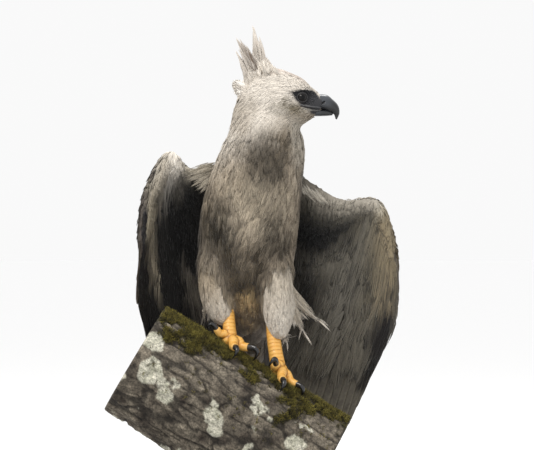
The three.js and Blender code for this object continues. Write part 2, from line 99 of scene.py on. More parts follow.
def lattice(cells, seed):
    """A steady random number from 0 to 1 for each whole-number cell."""
    n = (cells.astype(np.int64) * np.array([73856093, 19349663, 83492791])).sum(-1)
    n = n + seed * 7919
    n = ((n ^ (n >> 13)) * 1274126177) & 0xFFFFFFFF
    n = ((n ^ (n >> 16)) * 2246822519) & 0xFFFFFFFF
    return ((n ^ (n >> 15)) & 0xFFFFFF) / 0xFFFFFF


def noise(points, size, seed=0):
    """Smooth noise from -1 to 1 whose features are about that size."""
    q = points / size
    base = np.floor(q)
    f = q - base
    f = f * f * (3 - 2 * f)
    total = np.zeros(points.shape[:-1])
    for corner in itertools.product((0, 1), repeat=3):
        weight = np.where(np.array(corner) == 1, f, 1 - f).prod(-1)
        total += weight * lattice(base + corner, seed)
    return total * 2 - 1


def rough_noise(points, size, seed, octaves=3):
    """Noise with finer and weaker noise on it."""
    layers = [noise(points, size / 2**k, seed + k) / 2**k for k in range(octaves)]
    return sum(layers) / (2 - 2.0 ** (1 - octaves))


# Meshes from arrays
def linked(name, data):
    """A new object in the scene."""
    obj = bpy.data.objects.new(name, data)
    bpy.context.scene.collection.objects.link(obj)
    return obj


def read(items, attribute, width, kind=np.float32):
    """One attribute of a mesh's items, as rows of an array."""
    values = np.empty(len(items) * width, kind)
    items.foreach_get(attribute, values)
    return values.reshape(-1, width)


def points_of(mesh):
    return read(mesh.vertices, "co", 3).astype(float)


def normals_of(mesh):
    return read(mesh.vertex_normals, "vector", 3).astype(float)


def edges_of(mesh):
    return read(mesh.edges, "vertices", 2, np.int32)


def faces_of(mesh):
    return read(mesh.loops, "vertex_index", 1, np.int32).reshape(len(mesh.polygons), -1)


def set_points(mesh, points):
    mesh.vertices.foreach_set("co", points.astype(np.float32).ravel())


def set_smooth(mesh, smooth_shaded=True):
    mesh.polygons.foreach_set("use_smooth", np.full(len(mesh.polygons), smooth_shaded))


def tree_from(points, faces):
    return BVHTree.FromPolygons(points.tolist(), faces.tolist())


def mesh_object(name, points, faces, colours=None, maps=None, flat=False):
    """An object from an array of points and one array of faces with equal corner counts."""
    mesh = bpy.data.meshes.new(name)
    mesh.vertices.add(len(points))
    set_points(mesh, points)
    mesh.loops.add(faces.size)
    mesh.loops.foreach_set("vertex_index", faces.astype(np.int32).ravel())
    mesh.polygons.add(len(faces))
    starts = np.arange(0, faces.size, faces.shape[1], dtype=np.int32)
    mesh.polygons.foreach_set("loop_start", starts)
    set_smooth(mesh, not flat)
    mesh.update(calc_edges=True)
    for map_name, uv in (maps or {}).items():
        layer = mesh.uv_layers.new(name=map_name, do_init=False)
        layer.uv.foreach_set("vector", uv[faces.ravel()].astype(np.float32).ravel())
    if colours is not None:
        paint(mesh, colours)
    return linked(name, mesh)


def paint(mesh, colours):
    """Sets the colour attribute, with 1 for a missing alpha."""
    if colours.shape[1] == 3:
        colours = np.column_stack([colours, np.ones(len(colours))])
    layer = mesh.color_attributes.new(name=PLUMAGE, type="FLOAT_COLOR", domain="POINT")
    layer.data.foreach_set("color", colours.astype(np.float32).ravel())
    mesh.color_attributes.active_color = layer


def set_material(obj, material):
    obj.data.materials.clear()
    obj.data.materials.append(material)


def finish_piece(obj, material, slot, *replaced):
    """Gives a piece its material and rides it on the one body; the slot is not used."""
    set_material(obj, material)
    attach(obj, "root")
    if replaced:
        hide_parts(*replaced)
    return obj


def joined(parts):
    """Parts of points and faces as one set of points and faces."""
    first = np.cumsum([0] + [len(points) for points, _ in parts[:-1]])
    return (np.concatenate([points for points, _ in parts]),
            np.concatenate([faces + start for (_, faces), start in zip(parts, first)]))


def fused(name, points, faces, voxel):
    """One closed mesh round overlapping closed parts, in even small faces."""
    raw = mesh_object(name, points, faces)
    remesh = raw.modifiers.new("remesh", "REMESH")
    remesh.mode = "VOXEL"
    remesh.voxel_size = voxel
    ready = raw.evaluated_get(bpy.context.evaluated_depsgraph_get())
    mesh = bpy.data.meshes.new_from_object(ready)
    bpy.data.objects.remove(raw)
    return mesh


def around(count):
    return np.linspace(0, 2 * np.pi, count, endpoint=False)


def wall_faces(rings, sides):
    """Two arrays of triangles between each ring of points and the next."""
    r, k = np.meshgrid(np.arange(rings - 1), np.arange(sides), indexing="ij")
    a = (r * sides + k).ravel()
    b = (r * sides + (k + 1) % sides).ravel()
    return [np.stack([a, b, a + sides], 1), np.stack([b, b + sides, a + sides], 1)]


def tube(rings, ends):
    """A closed tube's points and triangles, from its rings of points and two end points."""
    count, sides = rings.shape[:2]
    first, low = count * sides, (count - 1) * sides
    k = np.arange(sides)
    following = (k + 1) % sides
    caps = [np.stack([0 * k + first, following, k], 1),
            np.stack([0 * k + first + 1, low + k, low + following], 1)]
    return (np.concatenate([rings.reshape(-1, 3), ends]),
            np.concatenate(wall_faces(count, sides) + caps))


def tube_object(name, rings, ends, colours):
    """A tube with a colour for each of its rings' points, whose ends take the nearest ones."""
    points, faces = tube(rings, ends)
    rows = colours.reshape(-1, 3)
    return mesh_object(name, points, faces, np.concatenate([rows, rows[:1], rows[-1:]]))


def spike_faces(rings, sides):
    """Triangles of a closed spike: rings, a flat root, and one tip point after the rings."""
    k, fan = np.arange(sides), np.arange(1, sides - 1)
    low = (rings - 1) * sides
    tip = np.stack([low + k, low + (k + 1) % sides, np.full(sides, rings * sides)], 1)
    root = np.stack([np.zeros_like(fan), fan + 1, fan], 1)
    return np.concatenate([*wall_faces(rings, sides), tip, root])


def loop_quads(rings, sides):
    """Quads of a ring of rings of points, closed both ways."""
    grid = np.arange(rings * sides).reshape(rings, sides)
    following, beside = np.roll(grid, -1, 0), np.roll(grid, -1, 1)
    return np.stack([grid, beside, np.roll(following, -1, 1), following], -1).reshape(-1, 4)


def repeated(faces, count, size):
    """One item's faces repeated for count items of size points each."""
    return (faces[None] + (np.arange(count) * size)[:, None, None]).reshape(-1, faces.shape[1])


# Curves and surfaces that the solids were made on
def spline(knots, t):
    """Centripetal Catmull-Rom through knots, shared by every t or one set for each t."""
    knots = np.asarray(knots, float)
    if knots.ndim == 2:
        knots = np.repeat(knots[:, None], len(t), 1)
    knots = np.stack([2 * knots[0] - knots[1], *knots, 2 * knots[-1] - knots[-2]])
    spans = len(knots) - 3
    place = np.clip(t, 0, 1) * spans
    i = np.minimum(place.astype(int), spans - 1)
    f = (place - i)[:, None]
    a, b, c, d = (knots[i + k, np.arange(len(t))] for k in range(4))

    def gap(p, q):
        return np.maximum(((p - q) ** 2).sum(1, keepdims=True) ** 0.25, 1e-6)

    ab, bc, cd = gap(a, b), gap(b, c), gap(c, d)
    start = ((b - a) / ab - (c - a) / (ab + bc) + (c - b) / bc) * bc
    end = ((c - b) / bc - (d - b) / (bc + cd) + (d - c) / cd) * bc
    rise = c - b
    return b + f * (start + f * (3 * rise - 2 * start - end + f * (start + end - 2 * rise)))


def row_at(rows, t):
    """Catmull-Rom through rows of numbers, with t from 0 at the first row to 1 at the last."""
    rows = np.asarray(rows, float)
    last = len(rows) - 1
    at = np.clip(np.asarray(t) * last, 0, last - 1e-6)
    i = at.astype(int)
    f = (at - i)[:, None]
    a, b, c, d = (rows[np.clip(i + k, 0, last)] for k in (-1, 0, 1, 2))
    pull, following, rise = (c - a) / 2, (d - b) / 2, c - b
    return b + f * (pull + f * (3 * rise - 2 * pull - following + f * (pull + following - 2 * rise)))


def loft(rows, rings, sides, across=(1, 0, 0), dome=0.35, power=2.0):
    """A closed tube through rows of bird millimetres: its rings of points, its two end points,
    and its centres and their front directions.

    A row is x, y, z, half width along across, and half depth ahead and behind.
    """
    spine = row_at(rows, np.linspace(0, 1, rings))
    centres = FEET + MM * spine[:, :3]
    wide, ahead, behind = MM * spine[:, 3:].T
    along = unit(np.gradient(centres, axis=0))
    across = np.asarray(across, float)
    side = unit(across - along * (along @ across)[:, None])
    front = np.cross(along, side)
    angle = np.arange(sides) * 2 * np.pi / sides
    level, upright = (np.sign(v) * np.abs(v) ** (2 / power) for v in (np.cos(angle), np.sin(angle)))
    deep = np.where(np.sin(angle)[None] > 0, ahead[:, None], behind[:, None])
    points = centres[:, None] + side[:, None] * (wide[:, None] * level)[..., None]
    points = points + front[:, None] * (deep * upright)[..., None]
    ends = np.stack([centres[0] - along[0] * dome * min(wide[0], ahead[0]),
                     centres[-1] + along[-1] * dome * min(wide[-1], ahead[-1])])
    return points, ends, (centres, front)


# Materials
class Finish:
    """A node material: calls add nodes, and numbers or other nodes' outputs go into sockets."""

    def __init__(self, name, **fixed):
        self.material = bpy.data.materials.new(name)
        self.material.use_nodes = True
        self.tree = self.material.node_tree
        self.shader = self.tree.nodes["Principled BSDF"]
        self.plug(self.shader, {key.replace("_", " "): value for key, value in fixed.items()})

    def plug(self, node, inputs):
        for key, value in inputs.items():
            if isinstance(value, bpy.types.NodeSocket):
                self.tree.links.new(value, node.inputs[key])
            else:
                node.inputs[key].default_value = value

    def node(self, kind, inputs=None, **settings):
        """The outputs of a new node."""
        node = self.tree.nodes.new("ShaderNode" + kind)
        for key, value in settings.items():
            setattr(node, key, value)
        self.plug(node, inputs or {})
        return node.outputs

    def add(self, kind, inputs=None, out=0, **settings):
        return self.node(kind, inputs, **settings)[out]

    def painted(self):
        """The piece's own painted colour, and its alpha."""
        outputs = self.node("Attribute", attribute_name=PLUMAGE)
        return outputs["Color"], outputs["Alpha"]

    def vane_map(self):
        """The two numbers of the map that holds distances across and along a feather."""
        return self.node("SeparateXYZ", {0: self.add("UVMap", uv_map=VANE_MAP)})[:2]

    def math(self, operation, a, b=0.0, c=0.0):
        return self.add("Math", {0: a, 1: b, 2: c}, operation=operation)

    def wave(self, value, length):
        """A sine from -1 to 1 that repeats each time the value grows by that length."""
        return self.math("SINE", self.math("MULTIPLY", value, 2 * np.pi / length))

    def place(self):
        return self.add("TexCoord", out="Object")

    def noise(self, scale, detail, rough=0.5, vector=None):
        inputs = {"Scale": scale, "Detail": detail, "Roughness": rough}
        return self.add("TexNoise", inputs | {"Vector": vector or self.place()})

    def ramp(self, value, *stops):
        """A colour ramp through (place, colour) stops."""
        node = self.tree.nodes.new("ShaderNodeValToRGB")
        elements = node.color_ramp.elements
        while len(elements) < len(stops):
            elements.new(0.5)
        for element, (place, colour) in zip(elements, stops):
            element.position = place
            element.color = (*(colour * np.ones(3)), 1)
        self.tree.links.new(value, node.inputs[0])
        return node.outputs[0]

    def mixed(self, a, b, amount, blend_type="MIX"):
        inputs = {6: a, 7: b, 0: amount}
        return self.add("Mix", inputs, 2, data_type="RGBA", blend_type=blend_type)

    def shaded(self, colour, grain, dark, light):
        """A colour made darker and lighter by a grain, between two (place, brightness) stops."""
        return self.mixed(colour, self.ramp(grain, dark, light), 1.0, "MULTIPLY")

    def bump(self, height, strength, distance):
        return self.add("Bump", {"Height": height, "Strength": strength, "Distance": distance})

    def show(self, colour, normal=None):
        self.plug(self.shader, {"Base Color": colour})
        if normal is not None:
            self.plug(self.shader, {"Normal": normal})
        return self.material


# Distances between the fine lines of a vane, its dark bars, and the wood's year rings
BARB_SPACING, FLIGHT_BARB_SPACING = 0.0011, 0.0013
BAR_SPACING = 0.034
YEAR_SPACING = 0.0046
BAR_DARKNESS = (0.22, 0.21, 0.21, 1)


def barb_lines(finish, across, along, spacing):
    """Fine lines that slant away from the shaft."""
    slant = finish.math("MULTIPLY_ADD", finish.math("ABSOLUTE", across), -1.1, along)
    return finish.wave(slant, spacing)


def plumage_material(name, bumpy):
    f = Finish(name, Roughness=0.78, Sheen_Weight=0.12, Sheen_Roughness=0.4,
               Specular_IOR_Level=0.25)
    lines = barb_lines(f, *f.vane_map(), BARB_SPACING)
    colour = f.shaded(f.painted()[0], f.noise(420.0, 2.0), (0.3, 0.86), (0.7, 1.1))
    return f.show(colour, f.bump(lines, bumpy, 0.0003))


def flight_material():
    """Stiff vanes: the colour's alpha is how strongly the dark bars show."""
    f = Finish("flight_vane", Roughness=0.58, Sheen_Weight=0.08, Sheen_Roughness=0.4,
               Specular_IOR_Level=0.35)
    painted, strength = f.painted()
    across, along = f.vane_map()
    wander = f.math("MULTIPLY_ADD", f.noise(38.0, 2.0), 0.018, along)
    curved = f.math("MULTIPLY_ADD", f.math("ABSOLUTE", across), -0.25, wander)
    band = f.math("MULTIPLY_ADD", f.wave(curved, BAR_SPACING), 0.5, 0.5)
    amount = f.math("MULTIPLY", f.ramp(band, (0.50, 0.0), (0.72, 1.0)), strength)
    dark = f.mixed(painted, BAR_DARKNESS, 1.0, "MULTIPLY")
    colour = f.mixed(painted, dark, amount)
    colour = f.shaded(colour, f.noise(260.0, 3.0), (0.3, 0.84), (0.7, 1.12))
    lines = barb_lines(f, across, along, FLIGHT_BARB_SPACING)
    return f.show(colour, f.bump(lines, 0.35, 0.0003))


def painted_material(name, roughness, bump_scale=None, bump=0.2, depth=0.0004, **fixed):
    """A material in the piece's own painted colours, with fine grain."""
    f = Finish(name, Roughness=roughness, **fixed)
    colour = f.painted()[0]
    if bump_scale is None:
        return f.show(colour)
    grain = f.noise(bump_scale, 4.0)
    return f.show(f.shaded(colour, grain, (0.25, 0.85), (0.75, 1.12)), f.bump(grain, bump, depth))


def bark_material():
    """Bark in its painted colours, and growth rings where the colour's alpha is 0."""
    f = Finish("bark", Roughness=0.92)
    painted, is_bark = f.painted()
    grain = f.noise(300.0, 5.0, 0.6)
    bark = f.shaded(painted, grain, (0.32, 0.4), (0.68, 1.5))
    wander = f.math("MULTIPLY_ADD", f.noise(22.0, 3.0), 0.006, f.vane_map()[0])
    wood = f.shaded(painted, f.wave(wander, YEAR_SPACING), (0.2, 1.05), (0.95, 0.72))
    wood = f.shaded(wood, f.noise(140.0, 4.0), (0.3, 0.88), (0.7, 1.08))
    return f.show(f.mixed(wood, bark, is_bark), f.bump(grain, 0.6, 0.0014))


def board_material():
    f = Finish("dark_board", Roughness=0.38, Coat_Weight=0.3, Coat_Roughness=0.25)
    stretched = f.add("Mapping", {"Vector": f.place(), "Scale": (3.0, 42.0, 42.0)})
    grain = f.noise(1.0, 6.0, 0.6, stretched)
    colour = f.ramp(grain, (0.32, tone(36, 27, 22)), (0.5, tone(56, 42, 33)),
                    (0.7, tone(76, 57, 44)))
    return f.show(colour, f.bump(grain, 0.15, 0.0004))


def steel_material():
    f = Finish("brushed_steel", Metallic=1.0, Roughness=0.32)
    stretched = f.add("Mapping", {"Vector": f.place(), "Scale": (600.0, 600.0, 6.0)})
    lines = f.noise(1.0, 2.0, 0.5, stretched)
    colour = f.ramp(lines, (0.3, tone(150, 152, 155)), (0.7, tone(188, 190, 193)))
    return f.show(colour, f.bump(lines, 0.08, 0.0002))


# Colours of the plumage
CREAM = tone(219, 211, 200)
CROWN = tone(208, 193, 183)
CREST = tone(222, 214, 204)
CHEST = tone(164, 151, 133)
MOTTLE = tone(116, 105, 88)
THIGH = tone(214, 203, 186)
MANTLE = tone(112, 104, 97)
MANTLE_DARK = tone(74, 66, 60)
MANTLE_EDGE = tone(196, 187, 174)
FLIGHT_UPPER = tone(104, 100, 98)
FLIGHT_TIP = tone(52, 49, 48)
FACE_DARK = tone(30, 30, 33)
FACE_GREY = tone(66, 66, 69)

# The head's middle plane, and an eye's place and how far out from that plane it lies
HEAD_Y = -14
EYE_X, EYE_Z, EYE_OUT = 78, 496.7, 29.8
# The outline of the dark bare face, which also takes in painted shade under the brow, as x and z
FACE_PATCH = np.array(
    [(58, 505.5), (65, 509.5), (77, 511), (90, 511.5), (98, 510), (104, 506), (109.5, 500.5),
     (114, 495.5), (122, 491), (122, 463), (105, 464), (96, 466.5), (93, 475.5), (86, 477.5),
     (76, 480.5), (73.5, 485.5), (69, 490.5), (63.5, 498)]
)
# Brush strokes of colour: (path of x and z, radius, colour, strength), in bird millimetres
BODY_STROKES = [
    ([(-35, 300), (20, 292)], 56, tone(178, 166, 146), 0.8),
    ([(-88, 345), (-52, 326)], 38, tone(170, 156, 136), 0.75),
    ([(0, 394), (12, 350)], 60, tone(90, 82, 70), 0.95),
    ([(-10, 400), (46, 414)], 34, tone(112, 101, 85), 0.75),
    ([(8, 384), (26, 344)], 36, tone(84, 77, 67), 0.7),
    ([(66, 446), (74, 360)], 20, tone(168, 160, 147), 0.8),
    # A painted shadow line in the fold between the ruff and the throat
    ([(43, 462), (58, 424), (42, 396)], 7, tone(84, 74, 60), 0.8),
    ([(-101, 300), (-96, 190)], 24, tone(94, 86, 74), 0.75),
    ([(-16, 262), (6, 222)], 24, tone(180, 168, 147), 0.5),
    # Painted shade between locks of the belly
    ([(-86, 262), (-68, 212)], 38, tone(40, 33, 20), 1.0),
    # Painted shade in the crease above the left thigh
    ([(16, 227), (34, 194)], 38, tone(38, 32, 22), 0.95),
    # The olive-tan lower belly, darkened as painted shade where it lies recessed between the thighs
    ([(-38, 172), (-26, 118)], 46, tone(54, 44, 26), 0.95),
    ([(-28, 90), (-20, 16)], 34, tone(226, 198, 150), 0.97),
]
HEAD_STROKES = [
    ([(38, 486), (52, 476), (70, 468)], 16, tone(80, 71, 44), 0.9),
    ([(78, 460), (104, 458)], 10, tone(136, 126, 108), 0.8),
    ([(82, 473), (92, 470.5)], 6, tone(208, 204, 196), 0.95),
    # Painted shade on the back of the neck
    ([(-38, 476), (-40, 436)], 32, tone(180, 170, 156), 0.85),
    ([(6, 548), (40, 556), (80, 540)], 14, CROWN, 0.7),
]
# The underwings' base colours: the right one is near black as painted shade, since it faces in
# toward the body
UNDERWING = {"left": tone(112, 107, 96), "right": tone(34, 33, 32)}
UNDERWING_STROKES = {
    "left": [
        ([(205, 250), (210, 110)], 42, tone(100, 94, 80), 0.7),
        ([(240, 268), (249, 190), (238, 110)], 31, tone(160, 146, 120), 0.9),
        ([(158, 140), (134, 50)], 48, tone(120, 116, 107), 0.8),
        ([(76, 60), (64, 16)], 28, tone(74, 71, 64), 0.7),
        ([(75, 176), (122, 166), (176, 186)], 13, tone(140, 135, 124), 0.6),
        # The dark axillaries by the body, darkened further as painted shade in the hollow under the
        # arm
        ([(62, 248), (110, 234), (158, 232)], 42, tone(23, 23, 22), 0.96),
        ([(58, 256), (98, 228)], 54, tone(14, 14, 14), 1.0),
        ([(60, 176), (88, 120), (66, 50)], 42, tone(44, 42, 39), 0.87),
        # The pale upper edge of the underwing, made lighter still as painted light where the wing's
        # top faces the sky
        ([(206, 306), (222, 290)], 22, tone(206, 198, 181), 0.8),
        ([(116, 308), (206, 300)], 30, tone(170, 163, 151), 0.95),
        ([(80, 334), (106, 314)], 18, tone(178, 170, 157), 0.8),
        # More painted shade by the body, over the dark axillaries
        ([(100, 120), (60, 92)], 32, tone(36, 35, 33), 0.92),
        ([(250, 88), (240, 46), (222, -4), (200, -64)], 15, tone(28, 26, 27), 0.92),
        ([(234, 46), (218, 6)], 24, tone(30, 28, 29), 0.88),
    ],
    "right": [
        # Painted shadow inside the half-closed wing
        ([(-146, 324), (-160, 250), (-148, 180)], 34, tone(18, 18, 18), 0.96),
        ([(-162, 344), (-152, 316)], 13, tone(120, 114, 105), 0.55),
        ([(-230, 320), (-240, 250), (-242, 180)], 10, tone(132, 122, 108), 0.9),
        ([(-190, 350), (-206, 300), (-212, 240), (-205, 165), (-194, 120)], 10,
         tone(156, 147, 129), 0.9),
        # The dark primaries, darkened further as painted shade in the fold
        ([(-221, 300), (-227, 240), (-221, 160)], 10, tone(24, 21, 24), 1.0),
        ([(-216, 336), (-208, 300)], 12, tone(146, 138, 124), 0.8),
        # A painted highlight on the top of the wing, near white where the light falls on it
        ([(-160, 398), (-173, 362)], 31, tone(238, 231, 220), 1.0),
        ([(-180, 376), (-195, 326)], 18, tone(184, 175, 160), 0.92),
        ([(-140, 360), (-92, 376)], 19, tone(188, 180, 164), 0.9),
        ([(-140, 338), (-104, 344)], 16, tone(96, 91, 83), 0.6),
        ([(-134, 132), (-116, 88)], 22, tone(140, 132, 120), 0.8),
    ],
}


def stroke_gap(flat, path):
    """Distance of 2-D points from an open path."""
    path = np.array(path, float)
    nearest = np.full(len(flat), np.inf)
    for a, b in zip(path[:-1], path[1:]):
        edge = b - a
        t = np.clip(((flat - a) @ edge) / (edge @ edge), 0, 1)
        nearest = np.minimum(nearest, np.linalg.norm(flat - a - t[:, None] * edge, axis=1))
    return nearest


def outside(points, outline):
    """Distance of 2-D points from a closed outline, below zero inside it."""
    inside = np.zeros(len(points), bool)
    for a, b in zip(outline, np.roll(outline, -1, 0)):
        edge = b - a
        crosses = (a[1] > points[:, 1]) != (b[1] > points[:, 1])
        rise = np.where(abs(edge[1]) < 1e-9, 1e-9, edge[1])
        at = a[0] + (points[:, 1] - a[1]) / rise * edge[0]
        inside ^= crosses & (points[:, 0] < at)
    nearest = stroke_gap(points, [*outline, outline[0]])
    return np.where(inside, -nearest, nearest)


def brushed(colour, p, strokes, seed):
    """Colours with soft strokes laid over them, each a little ragged."""
    wander = np.stack([rough_noise(p, 24, seed), rough_noise(p, 24, seed + 5)], 1)
    for path, radius, tint, strength in strokes:
        gap = stroke_gap(p[:, [0, 2]] + wander * min(0.3 * radius, 11), path)
        colour = blend(colour, tint, strength * (1 - smooth(0.3, 1.05, gap / radius)))
    return colour


def body_colour(points):
    """The colour of the head, neck and body's plumage at row-frame points."""
    p = in_bird(points)
    x, y, z = p.T
    wobble = rough_noise(p, 30, 3)
    streaks = noise(p * [1, 1, 0.22], 4.5, 11) + 0.6 * noise(p * [1, 1, 0.3], 9, 12)
    blotches = rough_noise(p, 26, 21)
    colour = brushed(CHEST, p, BODY_STROKES, 7)
    back = smooth(20, 55, y) * (1 - smooth(430, 470, z))
    mantle = blend(MANTLE, MANTLE_EDGE, np.clip(0.12 + 0.2 * streaks + 0.3 * blotches, 0, 1))
    colour = blend(colour, mantle, back)
    colour = blend(colour, MOTTLE, 0.35 * np.clip(0.7 * streaks + 0.6 * blotches, 0, 1))
    cream = smooth(-44, 26, z - 430 - 0.6 * x + 14 * wobble)
    head = brushed(CREAM, p, HEAD_STROKES, 17)
    colour = blend(colour, head * (1 + 0.05 * streaks + 0.03 * blotches)[:, None], cream)
    throat = smooth(50, 62, x) * smooth(380, 410, z) * (1 - smooth(448, 462, z))
    colour = blend(colour, tone(172, 165, 153), 0.7 * throat)
    # Near-black sides of the body: painted shade under the wings
    under_wing_shade = np.maximum(smooth(58, 78, x) * smooth(-50, -10, y),
                       smooth(-98, -112, x) * smooth(-20, 10, y))
    under_wing_shade = 0.9 * under_wing_shade * smooth(110, 150, z) * (1 - smooth(330, 360, z))
    colour = blend(colour, tone(52, 49, 47), under_wing_shade)
    patch = outside(np.column_stack([x, z]), FACE_PATCH) + 1.2 * noise(p, 4, 31)
    dark = (1 - smooth(-1.3, 1.3, patch)) * smooth(8, 13, np.abs(y - HEAD_Y))
    grey = smooth(84, 98, x - 0.5 * (z - 490)) * smooth(509, 499, z)
    face = blend(FACE_DARK, FACE_GREY, 0.9 * grey)
    return blend(colour, face, dark)


def thigh_colour(points):
    """Whitish thighs with faint bars."""
    p = in_bird(points)
    bars = np.sin(p[:, 2] / 2.6 + 2 * noise(p, 20, 41)) * smooth(-0.2, 0.6, noise(p, 24, 42))
    streaks = noise(p * [1, 1, 0.25], 5, 43)
    warm = blend(THIGH, CHEST, np.clip(0.2 + 0.25 * streaks + 0.14 * bars, 0, 1))
    # The right thigh's outer side, darkened as painted shade
    warm = blend(warm, tone(158, 138, 108), 0.6 * smooth(-62, -92, p[:, 0]))
    warm = blend(warm, tone(246, 238, 226), 0.7 * (1 - smooth(60, 130, p[:, 2])))
    higher = smooth(168, 212, p[:, 2] + 12 * noise(p, 22, 44))
    return blend(warm, body_colour(points), higher)


# Wings, with the wrist's place as a share of the way out along them
WRIST_AT = 0.6


def rows_of(*places):
    return np.stack([bird(*place) for place in places])


class Wing:
    """The curved sheet that a wing's feathers lie on: s runs out along it, t down to the tips."""

    def __init__(self, side, fronts, roots, tips, outward, dorsal, camber, sweep):
        self.side = side
        self.turned = 1 if side == "left" else -1
        self.fronts, self.roots, self.tips = fronts, roots, tips
        self.outward = np.array(outward) * MM * sweep
        self.dorsal = unit(np.array(dorsal))
        self.camber = MM * camber

    def place(self, s, t):
        """Places from the front edge through two rows of knots to the feathers' tips."""
        front, root, tip = (spline(line, s) for line in (self.fronts, self.roots, self.tips))
        hand = smooth(WRIST_AT, 1, s)[:, None]
        middle = (root + tip) / 2 + self.dorsal * self.camber * (1 - 0.4 * hand)
        middle = middle + self.outward * (0.3 + 0.7 * hand)
        return spline(np.stack([front, root, middle, tip]), t)

    def frames(self, s, t):
        """Places, the way down the wing, and the dorsal normals."""
        step = 0.002
        down = unit(self.place(s, np.minimum(t + step, 1)) - self.place(s, np.maximum(t - step, 0)))
        over = unit(self.place(np.minimum(s + step, 1), t) - self.place(np.maximum(s - step, 0), t))
        normal = unit(np.cross(over, down) + self.dorsal * self.turned * 0.4)
        return self.place(s, t), down, normal * self.turned

    def down_per_t(self, s, t):
        """How far down the wing one step of t reaches, in metres."""
        step = 0.02
        low, high = np.maximum(t - step, 0), np.minimum(t + step, 1)
        gap = np.linalg.norm(self.place(s, high) - self.place(s, low), axis=1)
        return gap / (high - low)

    def half_thick(self, s, t):
        """Half the covert sheet's thickness, with the arm's flesh near the front edge."""
        down = np.clip(t / covert_end(s), 0, 1)
        full = np.sqrt(np.minimum(down / 0.22, 1)) * (1 - smooth(0.2, 1, down))
        arm = 15 * mix(1, 0.75, smooth(WRIST_AT, 1, s)) * full
        return MM * (1 + 2.2 * np.minimum(down / 0.05, 1) + arm)


def covert_end(s):
    """How far down the wing the sheet of coverts reaches, as t."""
    return mix(0.6, 0.5, smooth(WRIST_AT - 0.1, 1, s))


WINGS = [
    Wing(
        "left",
        rows_of((22, 60, 378), (84, 32, 351), (154, 6, 309), (221, -8, 306), (247, 10, 260),
                (255, 34, 192)),
        rows_of((14, 116, 222), (76, 118, 168), (146, 66, 228), (214, 14, 278), (242, 30, 220),
                (262, 52, 160)),
        rows_of((-6, 176, 58), (16, 196, -6), (40, 212, -72), (78, 224, -132), (146, 224, -172),
                (226, 150, -24)),
        outward=(1, 0.1, 0.1), dorsal=(0.35, 0.9, 0.25), camber=16, sweep=14,
    ),
    Wing(
        "right",
        rows_of((-40, 46, 388), (-98, 42, 374), (-136, 18, 371), (-166, -8, 401), (-211, 8, 334),
                (-224, 34, 246)),
        rows_of((-62, 118, 224), (-118, 132, 190), (-150, 76, 270), (-182, 18, 346),
                (-212, 38, 278), (-228, 54, 206)),
        rows_of((-34, 178, 60), (-66, 202, 0), (-96, 226, -62), (-130, 244, -118),
                (-178, 236, -142), (-204, 150, -4)),
        outward=(-0.7, 0, 0.1), dorsal=(-0.9, 0.35, 0.2), camber=20, sweep=14,
    ),
]


def under_colour(wing, points):
    """The underwing's colour, the same on its coverts and its flight feathers."""
    p = in_bird(points)
    colour = brushed(UNDERWING[wing.side], p, UNDERWING_STROKES[wing.side], 27)
    speckle = 0.5 * noise(p, 6, 51 + wing.turned) + 0.5 * rough_noise(p, 28, 53 + wing.turned)
    return colour * (1 + 0.22 * speckle)[:, None]


def wing_colour(wing, face, t, points):
    """The coverts' colour. face is 1 on the upper side and -1 on the lower."""
    if face < 0:
        return under_colour(wing, points)
    p = in_bird(points)
    amount = 0.3 + 0.5 * rough_noise(p, 28, 53 + wing.turned) + 0.3 * noise(p, 6, 51 + wing.turned)
    upper = blend(MANTLE, MANTLE_DARK, np.clip(amount, 0, 1))
    edge = np.maximum(under_colour(wing, points), 0.8 * MANTLE)
    return blend(upper, edge, 1 - smooth(0.14, 0.26, t))


# The skin: one mesh in place of the nodes of flesh, a coat's depth inside them
HEAD, NECK, TRUNK, THIGHS, WING = range(5)
FLESH = {
    "head": (HEAD, 2.6),
    "neck": (NECK, 6.0),
    "trunk": (TRUNK, 8.0),
    "thigh_left": (THIGHS, 7.0),
    "thigh_right": (THIGHS, 7.0),
    "wing_left_arm": (WING, 4.0),
    "wing_left_hand": (WING, 3.0),
    "wing_right_arm": (WING, 4.0),
    "wing_right_hand": (WING, 3.0),
}
# The skin's mesh size, how far the solids grow so that they overlap, and a thickness that is
# ample, all in metres
VOXEL = 0.0032
GROWN = 0.0006
THICK_ENOUGH = 0.08


def node_mesh(node):
    """A node's points and faces with shared vertices, its walls moved out a little."""
    work = bmesh.new()
    work.from_mesh(nodes[node].data)
    bmesh.ops.remove_doubles(work, verts=work.verts, dist=1e-5)
    work.normal_update()
    points = np.array([v.co + v.normal * GROWN for v in work.verts])
    faces = np.array([[v.index for v in f.verts] for f in work.faces])
    work.free()
    return points, faces


def averaged(values, edges, times):
    """Values moved half way to their neighbours' mean over a mesh's edges, a few times over."""
    count = len(values)
    flat = values.reshape(count, -1)
    reach = np.bincount(edges.ravel(), minlength=count)[:, None]
    for _ in range(times):
        total = np.empty_like(flat)
        for k in range(flat.shape[1]):
            total[:, k] = np.bincount(edges[:, 0], flat[edges[:, 1], k], count)
            total[:, k] += np.bincount(edges[:, 1], flat[edges[:, 0], k], count)
        flat = mix(flat, total / np.maximum(reach, 1), 0.5)
    return flat.reshape(values.shape)


